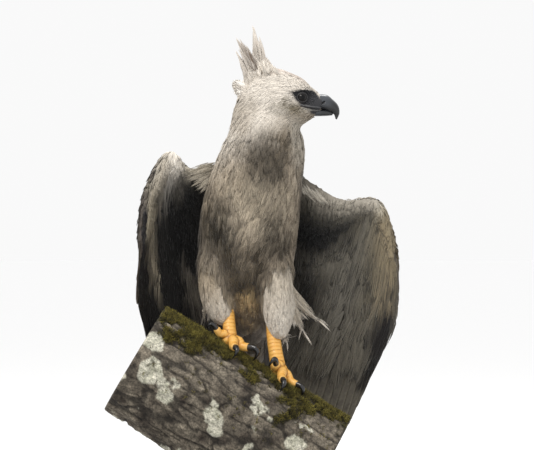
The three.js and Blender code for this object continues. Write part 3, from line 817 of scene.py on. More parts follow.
class Skin:
    """The one skin, with the tests for what lies nearest on it."""

    def __init__(self):
        parts = [node_mesh(node) for node in FLESH]
        counts = [len(faces) for _, faces in parts]
        kinds, depths = (np.repeat(column, counts) for column in zip(*FLESH.values()))
        points, faces = joined(parts)
        self.mesh = fused("flesh_union", points, faces, VOXEL)
        self.mesh.name = "skin"
        self.sink(tree_from(points, faces), kinds, depths)
        self.object = linked("skin", self.mesh)
        self.unwrap()
        self.tree = tree_from(self.points, self.faces)

    def sink(self, solids, kinds, depths):
        """Moves the skin in by the coat's depth, less where the solid is thin."""
        mesh = self.mesh
        edges = edges_of(mesh)
        points = averaged(points_of(mesh), edges, 4)
        set_points(mesh, points)
        normals = normals_of(mesh)
        found = [solids.find_nearest(p)[2] for p in points.tolist()]
        self.kinds = kinds[found]
        union = tree_from(points, faces_of(mesh))
        thick = np.full(len(points), THICK_ENOUGH)
        for i, (p, n) in enumerate(zip(points - normals * 5e-4, -normals)):
            hit = union.ray_cast(p, n, THICK_ENOUGH)
            if hit[3] is not None:
                thick[i] = hit[3]
        depth = averaged(np.minimum(depths[found] * MM, 0.3 * thick), edges, 12)
        for _ in range(3):
            points = averaged(points - normals_of(mesh) * depth[:, None] / 3, edges, 1)
            set_points(mesh, points)
            mesh.update()
        self.points, self.faces = points, faces_of(mesh)
        self.normals = normals_of(mesh)
        set_smooth(mesh)

    def unwrap(self):
        bpy.context.view_layer.objects.active = self.object
        self.object.select_set(True)
        self.mesh.uv_layers.new(name=BAKE_MAP)
        bpy.ops.object.mode_set(mode="EDIT")
        bpy.ops.mesh.select_all(action="SELECT")
        bpy.ops.uv.smart_project(angle_limit=np.radians(66), island_margin=0.001)
        bpy.ops.object.mode_set(mode="OBJECT")
        self.object.select_set(False)
        uv = read(self.mesh.uv_layers[BAKE_MAP].uv, "vector", 2)
        self.face_uv = uv.reshape(len(self.faces), -1, 2).mean(1)

    def nearest(self, points):
        """Nearest places, face normals, faces and distances on the skin."""
        found = [self.tree.find_nearest(p) for p in points.tolist()]
        return [np.array(column) for column in zip(*found)]

    def uv_under(self, trail):
        """The bake map's place under the root of each feather."""
        return self.face_uv[self.nearest(trail.places[:, 0])[2]]


class WingFinder:
    """Where on the two wings a point is nearest to."""

    def __init__(self):
        s, t = (a.ravel() for a in np.meshgrid(np.linspace(0, 1, 70), np.linspace(0, 1, 50)))
        self.s, self.t = np.tile(s, 2), np.tile(t, 2)
        frames = [wing.frames(s, t) for wing in WINGS]
        self.wing = np.repeat([0, 1], len(s))
        self.places, self.down, self.normals = (
            np.concatenate([f[k] for f in frames]) for k in range(3))
        self.tree = KDTree(len(self.places))
        for i, p in enumerate(self.places):
            self.tree.insert(p, i)
        self.tree.balance()

    def find(self, points):
        return np.array([self.tree.find(p)[1] for p in points.tolist()])

    def lie(self, points, normals):
        """The way down the wing at points on the skin, along its surface."""
        way = self.down[self.find(points)]
        return unit(way - normals * (way * normals).sum(1, keepdims=True))

    def colours(self, points):
        found = self.find(points)
        upper = ((points - self.places[found]) * self.normals[found]).sum(1) > 0
        colours = np.zeros((len(points), 3))
        for k, wing in enumerate(WINGS):
            for face in (1, -1):
                chosen = (self.wing[found] == k) & (upper == (face > 0))
                at = found[chosen]
                colours[chosen] = wing_colour(wing, face, self.t[at], points[chosen])
        return colours


COAT_GAP_SHADE = 0.8


def skin_colours(skin, finder):
    """The skin's colours, a little darker than the coat over it as painted shade under the coat."""
    colours = body_colour(skin.points)
    for kind, maker in ((THIGHS, thigh_colour), (WING, finder.colours)):
        chosen = skin.kinds == kind
        colours[chosen] = maker(skin.points[chosen])
    return colours * COAT_GAP_SHADE


# The lie of the coat, as directions at chosen places: (place, direction) in bird millimetres
LIE = [
    ((104, -14, 512), (-1, 0, 0.4)),
    ((60, -14, 548), (-1, 0, 0.12)),
    ((10, -14, 552), (-1, 0, 0.1)),
    ((-30, -14, 516), (-0.9, 0, 0.4)),
    ((-46, -14, 525), (-0.8, 0, 0.6)),
    ((-40, -14, 484), (-0.6, 0, -0.8)),
    ((100, -44, 492), (-1, -0.3, 0.0)),
    ((100, 16, 492), (-1, 0.3, 0.0)),
    ((62, -62, 470), (-0.9, 0, -0.45)),
    ((62, 34, 470), (-0.9, 0, -0.45)),
    ((50, -60, 520), (-1, 0, 0)),
    ((50, 32, 520), (-1, 0, 0)),
    ((10, -64, 490), (-0.75, 0, -0.65)),
    ((10, 36, 490), (-0.75, 0, -0.65)),
    ((84, -14, 452), (-0.8, 0, -0.6)),
    ((50, -20, 428), (-0.45, 0, -1)),
    ((15, -72, 425), (-0.15, 0, -1)),
    ((10, -80, 370), (-0.12, 0, -1)),
    ((-60, -20, 400), (0.05, 0, -1)),
    ((75, -10, 390), (-0.1, 0, -1)),
    ((0, 50, 410), (0, 0.1, -1)),
    ((10, -80, 300), (-0.45, 0, -1)),
    ((-10, -75, 240), (-0.4, 0, -1)),
    ((-70, -60, 300), (-0.1, 0, -1)),
    ((-25, -50, 180), (-0.25, 0.1, -1)),
    ((-18, 10, 90), (-0.05, 0.3, -1)),
    ((60, -30, 250), (-0.2, 0.1, -1)),
    ((-15, 110, 330), (0, 0.25, -1)),
    ((-20, 120, 200), (0, 0.3, -1)),
    ((-15, 120, 60), (0, 0.4, -0.93)),
    ((-90, -30, 180), (0.05, 0, -1)),
    ((-84, -20, 110), (0.15, 0.05, -1)),
    ((-60, -10, 85), (0.2, 0.05, -1)),
    ((-110, 40, 110), (-0.25, 0.35, -1)),
    ((34, -45, 150), (0.05, 0, -1)),
    ((34, -35, 90), (0, 0.05, -1)),
    ((10, -20, 90), (0, 0.1, -1)),
    ((60, 10, 110), (0.85, 0.25, -1)),
    ((62, 20, 80), (0.8, 0.3, -0.9)),
    ((48, 10, 55), (0.3, 0.2, -1)),
]
LIE_PLACES = rows_of(*[place for place, _ in LIE])
LIE_WAYS = unit(np.array([way for _, way in LIE], float))


def lie(points, normals):
    """The way that the coat lies at points on the skin, along its surface."""
    gap = ((points[:, None] - LIE_PLACES[None]) ** 2).sum(2)
    weight = 1 / (gap + (8 * MM) ** 2) ** 2
    way = unit(weight @ LIE_WAYS)
    return unit(way - normals * (way * normals).sum(1, keepdims=True))


# Stations along a trail, how far off the skin a feather runs straight on, and how high coverts
# lie over the flight feathers
STATIONS = 5
LEAVES_SKIN = 0.006
OVER_FLIGHT = 0.0045


class Trail:
    """Stations along each feather: places, sideways directions and normals, (N, stations, 3)."""

    def __init__(self, places, sides, normals, lengths):
        self.places, self.sides, self.normals, self.lengths = places, sides, normals, lengths

    def at(self, share):
        """Places, sides and normals at a share of each feather's length."""
        spot = np.clip(share, 0, 1) * (STATIONS - 1)
        i = np.minimum(spot.astype(int), STATIONS - 2)
        f = (spot - i)[:, None]
        rows = np.arange(len(self.places))
        return [mix(a[rows, i], a[rows, i + 1], f) for a in (self.places, self.sides, self.normals)]


def skin_trail(skin, roots, lengths, heights, sway, way_at=lie, settle=0.24):
    """A trail that follows the skin from each root, rising to its height above it and
    settling again by a share of it at the tip. Lengths and heights are in millimetres.

    sway turns each feather from the way that way_at gives. A feather whose next station
    is too far from the skin runs straight on, as the tips at the thighs' ends do.
    """
    lengths, heights = lengths * MM, heights * MM
    way = way_at(roots.places, roots.normals)
    side = np.cross(roots.normals, way)
    way = way * np.cos(sway)[:, None] + side * np.sin(sway)[:, None]
    places, ways, ups = [roots.places], [way], [roots.normals]
    step = (lengths / (STATIONS - 1))[:, None]
    for _ in range(STATIONS - 1):
        guess = places[-1] + ways[-1] * step
        found, n, _, gap = skin.nearest(guess)
        far = (gap > LEAVES_SKIN)[:, None]
        place = np.where(far, guess, found)
        up = unit(np.where(far, ups[-1], 0.5 * ups[-1] + n))
        way = unit(0.65 * ways[-1] + 0.35 * way_at(place, up))
        way = unit(way - up * (way * up).sum(1, keepdims=True))
        places.append(place)
        ups.append(up)
        ways.append(np.where(far, ways[-1], way))
    places, ways, ups = (np.stack(a, 1) for a in (places, ways, ups))
    along = np.linspace(0, 1, STATIONS)
    rise = 0.1 + 0.9 * smooth(0, 0.5, along) - settle * smooth(0.5, 1, along)
    places = places + ups * (heights[:, None] * rise)[..., None]
    return Trail(places, np.cross(ups, ways), ups, lengths)


def wing_trail(wing, face, s, t, lengths, low, high, drift):
    """A trail down the wing's sheet, from a height low to high above the covert sheet's middle.

    low and high are shares of the sheet's half thickness there. Past the sheet, a
    feather lies a little over the flight feathers.
    """
    per_t = wing.down_per_t(s, t)
    places, sides, ups = [], [], []
    for share in np.linspace(0, 1, STATIONS):
        at_t = t + share * lengths / per_t
        at_s = np.clip(s + drift * share * lengths, 0, 1)
        p, down, up = wing.frames(at_s, np.minimum(at_t, 1))
        over = np.maximum(at_t - 1, 0) * per_t
        up = up * face
        lift = mix(low, high, share) * wing.half_thick(at_s, at_t)
        lift = mix(lift, OVER_FLIGHT, smooth(0.9, 1.1, at_t / covert_end(at_s)))
        places.append(p + down * over[:, None] + up * lift[:, None])
        sides.append(np.cross(up, down))
        ups.append(up)
    return Trail(*(np.stack(a, 1) for a in (places, sides, ups)), lengths)


class Coat:
    """Feather meshes collected under one name, then joined into pieces of limited size."""

    def __init__(self, name, material, slot):
        self.name, self.material, self.slot = name, material, slot
        self.batches = []

    def add(self, faces_of_one, points, colours, vane, spot, root_uv):
        """One batch: a row of points and their values for each feather.

        vane is the distance across and along it, and spot its place in the bake map's patch.
        """
        size = points.shape[1]
        uv = np.repeat(root_uv, size, 0) + PATCH * (spot.reshape(-1, 2) - 0.5)
        rows = [a.reshape(len(points) * size, -1) for a in (points, colours, uv, vane)]
        self.batches.append((faces_of_one, size, rows))

    def groups(self):
        """Runs of feathers gathered so that each group stays under the most triangles."""
        groups, room = [], 0
        for one, size, rows in self.batches:
            count = len(rows[0]) // size
            per_piece = max(MOST_TRIANGLES // len(one), 1)
            for first in range(0, count, per_piece):
                last = min(first + per_piece, count)
                faces = repeated(one, last - first, size)
                if len(faces) > room:
                    groups.append([])
                    room = MOST_TRIANGLES
                groups[-1].append((faces, [a[first * size:last * size] for a in rows]))
                room -= len(faces)
        return groups

    def build(self, *replaced):
        for number, group in enumerate(self.groups(), 1):
            _, faces = joined([(rows[0], faces) for faces, rows in group])
            points, colours, uv, vane = (np.concatenate(a) for a in zip(*(g[1] for g in group)))
            obj = mesh_object(f"{self.name}_{number}", points, faces, colours,
                              {BAKE_MAP: uv, VANE_MAP: vane})
            finish_piece(obj, self.material, self.slot, *(replaced if number == 1 else ()))


def both_ends(trail, colour_of, tint):
    """Tinted colours at each feather's root and tip."""
    return tuple(colour_of(trail.places[:, k]) * tint for k in (0, -1))


# One finger of a soft feather: shares of its length, and how thick it is and its map's offset there
FINGER_RINGS = np.array([0.0, 0.42, 0.8])
FINGER_FAT = [0.6, 1.0, 0.72]
FINGER_SPOT = [*[-0.06, 0.06, 0.0] * 3, 0.0]
BUNCH = 0.9


def add_soft_feathers(coat, trail, widths, fingers, colours, root_uv, rng, streak=0.16,
                      root_shade=0.72, curl=0.12, slim=1.0, ridge=0.55):
    """Loose feathers, each a fan of slim tapering fingers of barbs from one root.

    colours holds one colour a feather, or a pair of its colours at the root and the tip.
    streak is how much the fingers differ in brightness, root_shade darkens the roots, curl
    lifts the tips in widths, slim narrows the fingers, and ridge is how high a finger is
    over its half width.
    """
    count = len(trail.places)
    colours = colours if isinstance(colours, tuple) else (colours, colours)
    along = np.array([*np.repeat(FINGER_RINGS, 3), 1.0])
    ring_shade = mix(root_shade, 1.05, smooth(0, 0.6, along))
    for finger in range(fingers):
        across = (finger + 0.5) / fingers * 2 - 1 + rng.uniform(-0.5, 0.5, count) / fingers
        reach = 1 - 0.28 * across**2 - rng.uniform(0, 0.14, count)
        stray = rng.normal(0, 0.10, count)
        lift = rng.uniform(-0.4, 1.0, count) * curl * widths
        half = widths / fingers * 0.62 * slim * rng.uniform(0.8, 1.2, count)
        points = []
        for share, fat in zip((*FINGER_RINGS, 1.0), (*FINGER_FAT, None)):
            place, side, up = trail.at(share * reach)
            spread = 0.25 + 0.75 * smooth(0, 0.55, share)
            offset = widths / 2 * BUNCH * (across * spread + stray * share**2)
            place = place + side * offset[:, None]
            place = place + up * (0.12 * widths * (1 - across**2) + lift * share**2)[:, None]
            if fat is None:
                points.append(place)
            else:
                wide = (half * fat)[:, None]
                points += [place - side * wide, place + side * wide, place + up * wide * ridge]
        shade = 1 + rng.uniform(-streak, streak, count)
        painted = blend(colours[0][:, None], colours[1][:, None], along[None])
        painted = painted * (shade[:, None] * ring_shade)[..., None]
        ones = np.ones(len(along))
        vane = np.stack([np.outer(across * widths / 2, ones), np.outer(trail.lengths, along)], -1)
        spot = np.stack([np.outer(across / 2 + 0.5, ones) + FINGER_SPOT,
                         np.outer(np.ones(count), along)], -1)
        coat.add(spike_faces(len(FINGER_RINGS), 3), np.stack(points, 1), painted, vane, spot,
                 root_uv)


# A firm feather: shares of its length, its width there, and its places across, the last a keel
VANE_RINGS = np.array([0.0, 0.16, 0.36, 0.56, 0.72, 0.85, 0.94])
LEAF_WIDTH = np.array([0.16, 0.62, 0.92, 1.0, 0.93, 0.74, 0.46])
LANCE_WIDTH = np.array([0.3, 0.82, 1.0, 0.84, 0.6, 0.36, 0.17])
VANE_ACROSS = np.array([-1, -0.5, 0, 0.5, 1, 0])
KEEL = len(VANE_ACROSS) - 1
KEEL_DROP = 0.6 * MM
CAMBER = 0.18


def add_vanes(coat, trail, widths, colours, edge_colours, root_uv, rng, edge, shaft=0.8,
              lift=0.05, root_shade=0.6, rag=0.1, outline=LEAF_WIDTH):
    """Firm contour feathers: cambered vanes with a shaft line and ragged edges.

    edge is how much of the edges' own colour shows, shaft and root_shade darken those places,
    lift raises the tips in widths, and rag is how ragged the edges are.
    """
    count = len(trail.places)
    points, painted, vane, spot = [], [], [], []
    for share, wide in zip(VANE_RINGS, outline):
        place, side, up = trail.at(np.full(count, share))
        ragged = 1 + rng.uniform(-rag, rag, (2, count))
        raised = lift * widths * share**2
        for k, across in enumerate(VANE_ACROSS):
            fringe = ragged[0 if across < 0 else 1] if abs(across) == 1 else 1.0
            offset = across * wide * widths / 2 * fringe
            drop = raised - CAMBER * widths * (across * wide) ** 2 - (KEEL_DROP if k == KEEL else 0)
            points.append(place + side * offset[:, None] + up * drop[:, None])
            pale = edge * np.clip(abs(across) ** 3 + smooth(0.7, 1, share), 0, 1)
            colour = blend(colours, edge_colours, pale)
            if across == 0:
                colour = colour * mix(shaft, 1, share)
            painted.append(colour * mix(root_shade, 1, smooth(0, 0.5, share)))
            vane.append(np.stack([offset, np.full(count, share) * trail.lengths], -1))
            spot.append(np.full((count, 2), [across / 2 + 0.5, share]))
    place, _, up = trail.at(np.ones(count))
    points.append(place + up * (lift * widths)[:, None])
    painted.append(blend(colours, edge_colours, edge))
    vane.append(np.stack([np.zeros(count), trail.lengths], -1))
    spot.append(np.full((count, 2), [0.5, 1.0]))
    points, painted, vane, spot = (np.stack(a, 1) for a in (points, painted, vane, spot))
    coat.add(spike_faces(len(VANE_RINGS), len(VANE_ACROSS)), points, painted, vane, spot, root_uv)


# Scattering roots over the skin
def spaced(points, gap):
    """The indices of points kept so that none is nearer than gap to another."""
    cells, kept = {}, []
    near = list(itertools.product((-1, 0, 1), repeat=3))
    keys = np.floor(points / gap).astype(int).tolist()
    for i, ((x, y, z), (px, py, pz)) in enumerate(zip(keys, points.tolist())):
        around_it = (cells.get((x + dx, y + dy, z + dz), ()) for dx, dy, dz in near)
        if not any((px - qx) ** 2 + (py - qy) ** 2 + (pz - qz) ** 2 < gap * gap
                   for cell in around_it for qx, qy, qz in cell):
            kept.append(i)
            cells.setdefault((x, y, z), []).append((px, py, pz))
    return np.array(kept, int)


class Roots:
    """Feather roots scattered on part of the skin, at about an even spacing."""

    def __init__(self, skin, wanted, gap, rng):
        gap = gap / np.sqrt(DENSITY)
        corners = skin.points[skin.faces]
        centre = corners.mean(1)
        sides = np.cross(corners[:, 2] - corners[:, 0], corners[:, 3] - corners[:, 1])
        area = np.linalg.norm(sides, axis=1) / 2
        chosen = np.flatnonzero(wanted(centre, skin.kinds[skin.faces[:, 0]]))
        tries = int(3.5 * area[chosen].sum() / gap**2)
        share = area[chosen] / area[chosen].sum()
        faces = rng.choice(chosen, tries, p=share)
        a, b = rng.random((2, tries, 1))
        c = corners[faces]
        points = mix(mix(c[:, 0], c[:, 1], a), mix(c[:, 3], c[:, 2], a), b)
        kept = spaced(points, gap * 0.8)
        self.places = points[kept]
        self.normals = unit(skin.normals[skin.faces[faces[kept]]].mean(1))
        self.uv = skin.face_uv[faces[kept]]


def near_eye(p):
    """Distance in millimetres of bird points from the nearer eye's centre."""
    return np.minimum(*(np.linalg.norm(p - [EYE_X, HEAD_Y + s * EYE_OUT, EYE_Z], axis=1)
                        for s in (-1, 1)))


# The line of the mouth, as x and z
MOUTH = [(70, 481.0), (77, 479.9), (86, 478.3), (94, 477.0), (108, 475.9), (125, 475.3)]


def bare(p):
    """True where bird points lie on the horn, the mouth's soft edges or the eyes."""
    x, y, z = p.T
    horn = (x > 103 + 0.35 * np.abs(z - 478)) & (z < 505)
    mouth = (stroke_gap(p[:, [0, 2]], MOUTH) < 3.4) & (x > 76)
    return horn | (mouth & (np.abs(y - HEAD_Y) > 9)) | (near_eye(p) < 10.8)


NAPE_TIP = [-50, HEAD_Y, 529]
# The spacing of the feathers' roots on each part of the skin
HEAD_GAP, BODY_GAP, MANTLE_GAP, THIGH_GAP, EDGE_GAP = 0.0030, 0.0054, 0.0078, 0.0052, 0.0062


def head_coat(skin, material):
    """Fine short feathers: shorter at the bill and eyes, longest at the nape."""
    rng = np.random.default_rng(101)
    coat = Coat("coat_head", material, "head_plumage")

    def wanted(centre, kinds):
        p = in_bird(centre)
        on_head = (kinds == HEAD) | ((kinds == NECK) & (p[:, 2] > 432))
        tuft = np.linalg.norm(p - NAPE_TIP, axis=1) < 5
        return on_head & ~bare(p) & ~tuft

    roots = Roots(skin, wanted, HEAD_GAP, rng)
    p = in_bird(roots.places)
    x, z = p[:, 0], p[:, 2]
    face = smooth(40, 90, x)
    dark = 1 - smooth(-2, 2, outside(p[:, [0, 2]], FACE_PATCH))
    nape = smooth(-8, -34, x) * (1 - smooth(520, 535, z))
    away = near_eye(p)
    length = mix(27, 11, face) * (1 - 0.5 * (1 - smooth(12, 22, away)))
    length = mix(mix(length, 4.6, dark), 30, nape) * rng.uniform(0.8, 1.25, len(p))
    length = np.where(z < 460, np.maximum(length, 18), length)
    length = np.where(bare(p + [-6, 0, 0]), np.minimum(length, 5), length)
    length = np.minimum(length, 6 + 0.5 * np.linalg.norm(p - NAPE_TIP, axis=1))
    width = mix(mix(7, 3.6, face), 2.4, dark) * rng.uniform(0.85, 1.15, len(p))
    height = mix(mix(3.6, 1.6, face), 0.9, dark) * rng.uniform(0.88, 1.05, len(p))
    height = height * (1 + 1.4 * nape * rng.random(len(p)))
    trail = skin_trail(skin, roots, length, height, rng.normal(0, 0.1, len(p)), settle=0.4)
    colours = both_ends(trail, body_colour, rng.uniform(0.92, 1.08, (len(p), 1)))
    add_soft_feathers(coat, trail, width * MM, 4, colours, roots.uv, rng, streak=0.05,
                      root_shade=0.97, curl=0.06, slim=0.9, ridge=0.28)
    coat.build()


def body_coat(skin, material):
    """The breast's, belly's and lower neck's loose feathers, in locks of like lie and tone."""
    rng = np.random.default_rng(202)
    coat = Coat("coat_body", material, "body_plumage")

    def wanted(centre, kinds):
        p = in_bird(centre)
        on_body = (kinds == TRUNK) | ((kinds == NECK) & (p[:, 2] < 440))
        behind = smooth(20, 50, p[:, 1]) * (1 - smooth(410, 450, p[:, 2]))
        return on_body & (behind < 0.5)

    roots = Roots(skin, wanted, BODY_GAP, rng)
    p = in_bird(roots.places)
    neck = smooth(330, 430, p[:, 2])
    locks = noise(p * [1, 1, 0.4], 16, 205)
    length = mix(54, 32, neck) * rng.uniform(0.75, 1.3, len(p))
    width = mix(13, 10, neck) * rng.uniform(0.8, 1.2, len(p))
    height = mix(8, 6.5, neck) * np.clip(rng.uniform(0.65, 1.1, len(p)) + 0.22 * locks, 0.2, 1.4)
    trail = skin_trail(skin, roots, length, height, rng.normal(0, 0.15, len(p)) + 0.25 * locks)
    tint = rng.uniform(0.86, 1.14, (len(p), 1)) * (1 + 0.14 * locks)[:, None]
    colours = both_ends(trail, body_colour, tint)
    add_soft_feathers(coat, trail, width * MM, 7, colours, roots.uv, rng, streak=0.13,
                      root_shade=0.82, curl=0.07, slim=0.72, ridge=0.4)
    coat.build()


def mantle_coat(skin, material):
    """The back's firmer, pale-edged feathers."""
    rng = np.random.default_rng(303)
    coat = Coat("coat_mantle", material, "body_plumage")

    def wanted(centre, kinds):
        p = in_bird(centre)
        on_body = (kinds == TRUNK) | ((kinds == NECK) & (p[:, 2] < 450))
        behind = smooth(10, 45, p[:, 1]) * (1 - smooth(425, 450, p[:, 2]))
        return on_body & (behind > 0.4)

    roots = Roots(skin, wanted, MANTLE_GAP, rng)
    p = in_bird(roots.places)
    high = smooth(300, 420, p[:, 2])
    length = mix(52, 34, high) * rng.uniform(0.85, 1.15, len(p))
    width = mix(26, 17, high) * rng.uniform(0.9, 1.1, len(p))
    height = 8 * rng.uniform(0.5, 1.1, len(p))
    trail = skin_trail(skin, roots, length, height, rng.normal(0, 0.1, len(p)))
    colours = body_colour(roots.places) * rng.uniform(0.82, 1.15, (len(p), 1))
    add_vanes(coat, trail, width * MM, colours, MANTLE_EDGE, roots.uv, rng, edge=0.45)
    coat.build()


def thigh_coat(skin, material):
    """The thighs' long loose feathers, thin at the outer sides of both."""
    rng = np.random.default_rng(404)
    coat = Coat("coat_thighs", material, "body_plumage")
    roots = Roots(skin, lambda centre, kinds: kinds == THIGHS, THIGH_GAP, rng)
    p = in_bird(roots.places)
    low = 1 - smooth(70, 150, p[:, 2])
    length = mix(50, 34, low) * rng.uniform(0.75, 1.3, len(p))
    outer = (p[:, 0] > 68) | (p[:, 0] < -100)
    length = np.where(outer, 40, length)
    width = mix(9, 7, low) * rng.uniform(0.85, 1.15, len(p))
    width = np.where(outer, 4, width)
    height = 5 * rng.uniform(0.8, 1.05, len(p))
    trail = skin_trail(skin, roots, length, height, rng.normal(0, 0.1, len(p)), settle=0.45)
    colours = both_ends(trail, thigh_colour, rng.uniform(0.93, 1.07, (len(p), 1)))
    add_soft_feathers(coat, trail, width * MM, 6, colours, roots.uv, rng, streak=0.07,
                      root_shade=0.94, curl=0.04, slim=0.7, ridge=0.25)
    coat.build()


# Coverts: where their rows start and stop down the wing, then sizes in millimetres
LESSER = dict(start=0.06, stop=0.26, gap=7.5, length=24, width=12, spacing=7.5, low=0.6, high=1.0)
MEDIAN = dict(start=0.24, stop=0.5, gap=11, length=42, width=17, spacing=9, low=0.7, high=1.1)
GREATER = dict(start=0.4, stop=0.64, gap=20, length=66, width=24, spacing=12, low=0.7, high=1.2)
UNDER_GREATER = dict(start=0.42, stop=0.8, gap=13, length=84, width=20, spacing=9.5, low=0.7,
                     high=1.1)


def covert_rows(wing, rng, rows):
    """Roots in staggered rows: s and t."""
    gap, reach = rows["gap"], wing.down_per_t(np.array([0.5]), np.array([0.3]))[0]
    s = np.linspace(0, 1, 200)
    every_s, every_t = [], []
    step = gap * MM / reach / np.sqrt(DENSITY)
    for row, t in enumerate(np.arange(rows["start"], rows["stop"], step)):
        places = wing.place(s, np.full_like(s, t))
        length = np.concatenate([[0], np.linalg.norm(np.diff(places, axis=0), axis=1).cumsum()])
        count = int(length[-1] / (rows["spacing"] * MM) * np.sqrt(DENSITY))
        share = (np.arange(count) + 0.5 * (row % 2) + rng.uniform(-0.25, 0.25, count)) / count
        every_s.append(np.interp(np.clip(share, 0, 1) * length[-1], length, s))
        every_t.append(t + rng.uniform(-0.2, 0.2, count) * gap * MM / reach)
    s, t = np.concatenate(every_s), np.concatenate(every_t)
    return s, np.clip(t * covert_end(s) / 0.6, 0.006, 0.9)


def covert_coats(skin, materials):
    """Both wings' coverts: firm above but for the smallest, soft below."""
    for wing in WINGS:
        for face, name in ((1, "upper"), (-1, "under")):
            rng = np.random.default_rng(500 + 10 * wing.turned + face)
            coat = Coat(f"coat_{name}wing_{wing.side}", materials[face], "wing_plumage")
            last_rows = GREATER if face > 0 else UNDER_GREATER
            for rows in (last_rows, MEDIAN, LESSER):
                s, t = covert_rows(wing, rng, rows)
                count = len(s)
                length = rows["length"] * MM * rng.uniform(0.8, 1.2, count)
                width = rows["width"] * MM * rng.uniform(0.85, 1.15, count)
                width = width * mix(0.45, 1, smooth(0.0, 0.07, np.minimum(s, 1 - s)))
                high = rows["high"] * rng.uniform(0.85, 1.1, count)
                drift = rng.normal(0, 0.35, count) if face < 0 else np.zeros(count)
                trail = wing_trail(wing, face, s, t, length, rows["low"], high, drift)
                tint = rng.uniform(0.94, 1.06, (count, 1))
                colours = wing_colour(wing, face, t, trail.places[:, 1]) * tint
                uv = skin.uv_under(trail)
                if face < 0 or rows is LESSER:
                    end = np.minimum(t + length / wing.down_per_t(s, t), 1)
                    colours = (colours, wing_colour(wing, face, end, trail.places[:, -1]) * tint)
                    add_soft_feathers(coat, trail, width, 6, colours, uv, rng, streak=0.07,
                                      root_shade=0.9, slim=0.9, curl=0.06)
                else:
                    pale = blend(colours, MANTLE_EDGE, 0.7)
                    add_vanes(coat, trail, width, colours, pale, uv, rng, edge=0.4)
            coat.build()


def edge_coat(skin, finder, material):
    """Short coverts over the thick front edge of each wing."""
    for k, wing in enumerate(WINGS):
        rng = np.random.default_rng(600 + k)
        coat = Coat(f"coat_wingedge_{wing.side}", material, "wing_plumage")

        def wanted(centre, kinds, k=k):
            at = finder.find(centre)
            return (kinds == WING) & (finder.wing[at] == k) & (finder.t[at] < 0.15)

        roots = Roots(skin, wanted, EDGE_GAP, rng)
        count = len(roots.places)
        t = finder.t[finder.find(roots.places)]
        length = mix(15, 27, smooth(0, 0.12, t)) * rng.uniform(0.8, 1.25, count)
        trail = skin_trail(skin, roots, length, 2.6 * rng.uniform(0.4, 1.2, count),
                           rng.normal(0, 0.16, count), finder.lie)
        colours = both_ends(trail, finder.colours, rng.uniform(0.92, 1.08, (count, 1)))
        add_soft_feathers(coat, trail, 8 * rng.uniform(0.8, 1.2, count) * MM, 4, colours, roots.uv,
                          rng, streak=0.1, root_shade=0.85, slim=0.9)
        coat.build()


# Flight feathers: their rings and columns, and half the thickness of the vane and of the quill
FLIGHT_RINGS = 34
FLIGHT_ACROSS = np.linspace(-1, 1, 9)
VANE_HALF, QUILL_HALF = 0.45 * MM, 0.7 * MM


def flight_faces(rings, columns):
    """Triangles of one closed vane: an upper and a lower sheet of rings by columns."""
    grid = np.arange(rings * columns).reshape(rings, columns)
    a, b, c, d = (grid[:-1, :-1], grid[:-1, 1:], grid[1:, 1:], grid[1:, :-1])
    quads = np.stack([a, b, c, d], -1).reshape(-1, 4)
    lower = quads[:, ::-1] + rings * columns
    rim = np.concatenate([grid[0], grid[1:, -1], grid[-1, -2::-1], grid[-2:0:-1, 0]])
    turn = np.roll(rim, -1)
    wall = np.stack([rim, turn, turn + rings * columns, rim + rings * columns], 1)[:, ::-1]
    quads = np.concatenate([quads, lower, wall])
    return np.concatenate([quads[:, [0, 1, 2]], quads[:, [0, 2, 3]]])


def vane_outline(share, pointed):
    """Half width of a flight feather at shares of its length, as a share of its widest."""
    butt = mix(0.55, 1, smooth(0, 0.25, share))
    tip_from = mix(0.88, 0.62, pointed)
    round_off = np.clip((share - tip_from) / (1 - tip_from), 0, 1)
    return butt * np.sqrt(np.clip(1 - round_off ** mix(2.6, 1.9, pointed), 0.0004, 1))


def flight_feather(place_of, start, stop, pointed):
    """One vane on a sheet. place_of(across, share) gives places and normals for arrays."""
    share = np.linspace(0, 1, FLIGHT_RINGS) ** 0.9
    across, share = (a.ravel() for a in np.meshgrid(FLIGHT_ACROSS, share))
    outline = vane_outline(share, pointed)
    ragged = 1 + 0.035 * noise(np.stack([share * 90, across * 0, across * 0 + start], -1), 1, 9)
    side = across * outline * np.where(np.abs(across) == 1, ragged, 1)
    places, up = place_of(side, mix(start, stop, share))
    quill = QUILL_HALF * np.exp(-((across / 0.16) ** 2)) * (1 - 0.8 * share)
    half = (VANE_HALF * mix(0.9, 0.5, np.abs(across)) + quill)[:, None]
    points = np.concatenate([places + up * half, places - up * half])
    return points, np.tile(across, 2), np.tile(share, 2)


def flight_coat(name, material, feathers, replaced):
    """Joins flight feathers, each (points, across, share, width, length, colour rows)."""
    one = flight_faces(FLIGHT_RINGS, len(FLIGHT_ACROSS))
    size = FLIGHT_RINGS * len(FLIGHT_ACROSS) * 2
    columns = int(np.ceil(np.sqrt(len(feathers) * 2)))
    cell = 1 / columns
    points, colours, vanes, uvs = [], [], [], []
    for k, (place, across, share, width, length, colour) in enumerate(feathers):
        points.append(place)
        colours.append(colour)
        vanes.append(np.stack([across * width / 2, share * length], -1))
        # The grain that bumps the surface also darkens its hollows a little: painted shade
        lower = np.repeat([0, 1], size // 2)
        number = 2 * k + lower
        corner = np.stack([number % columns, number // columns], -1) * cell
        inner = np.stack([across * 0.46 + 0.5, share * 0.94 + 0.03], -1)
        uvs.append(corner + inner * cell)
    faces = repeated(one, len(feathers), size)
    obj = mesh_object(name, np.concatenate(points), faces, np.concatenate(colours),
                      {BAKE_MAP: np.concatenate(uvs), VANE_MAP: np.concatenate(vanes)})
    # The grain that bumps the bark also darkens its hollows and lightens its rises: painted shade
    # and light
    finish_piece(obj, material, "flight_feather", *replaced)


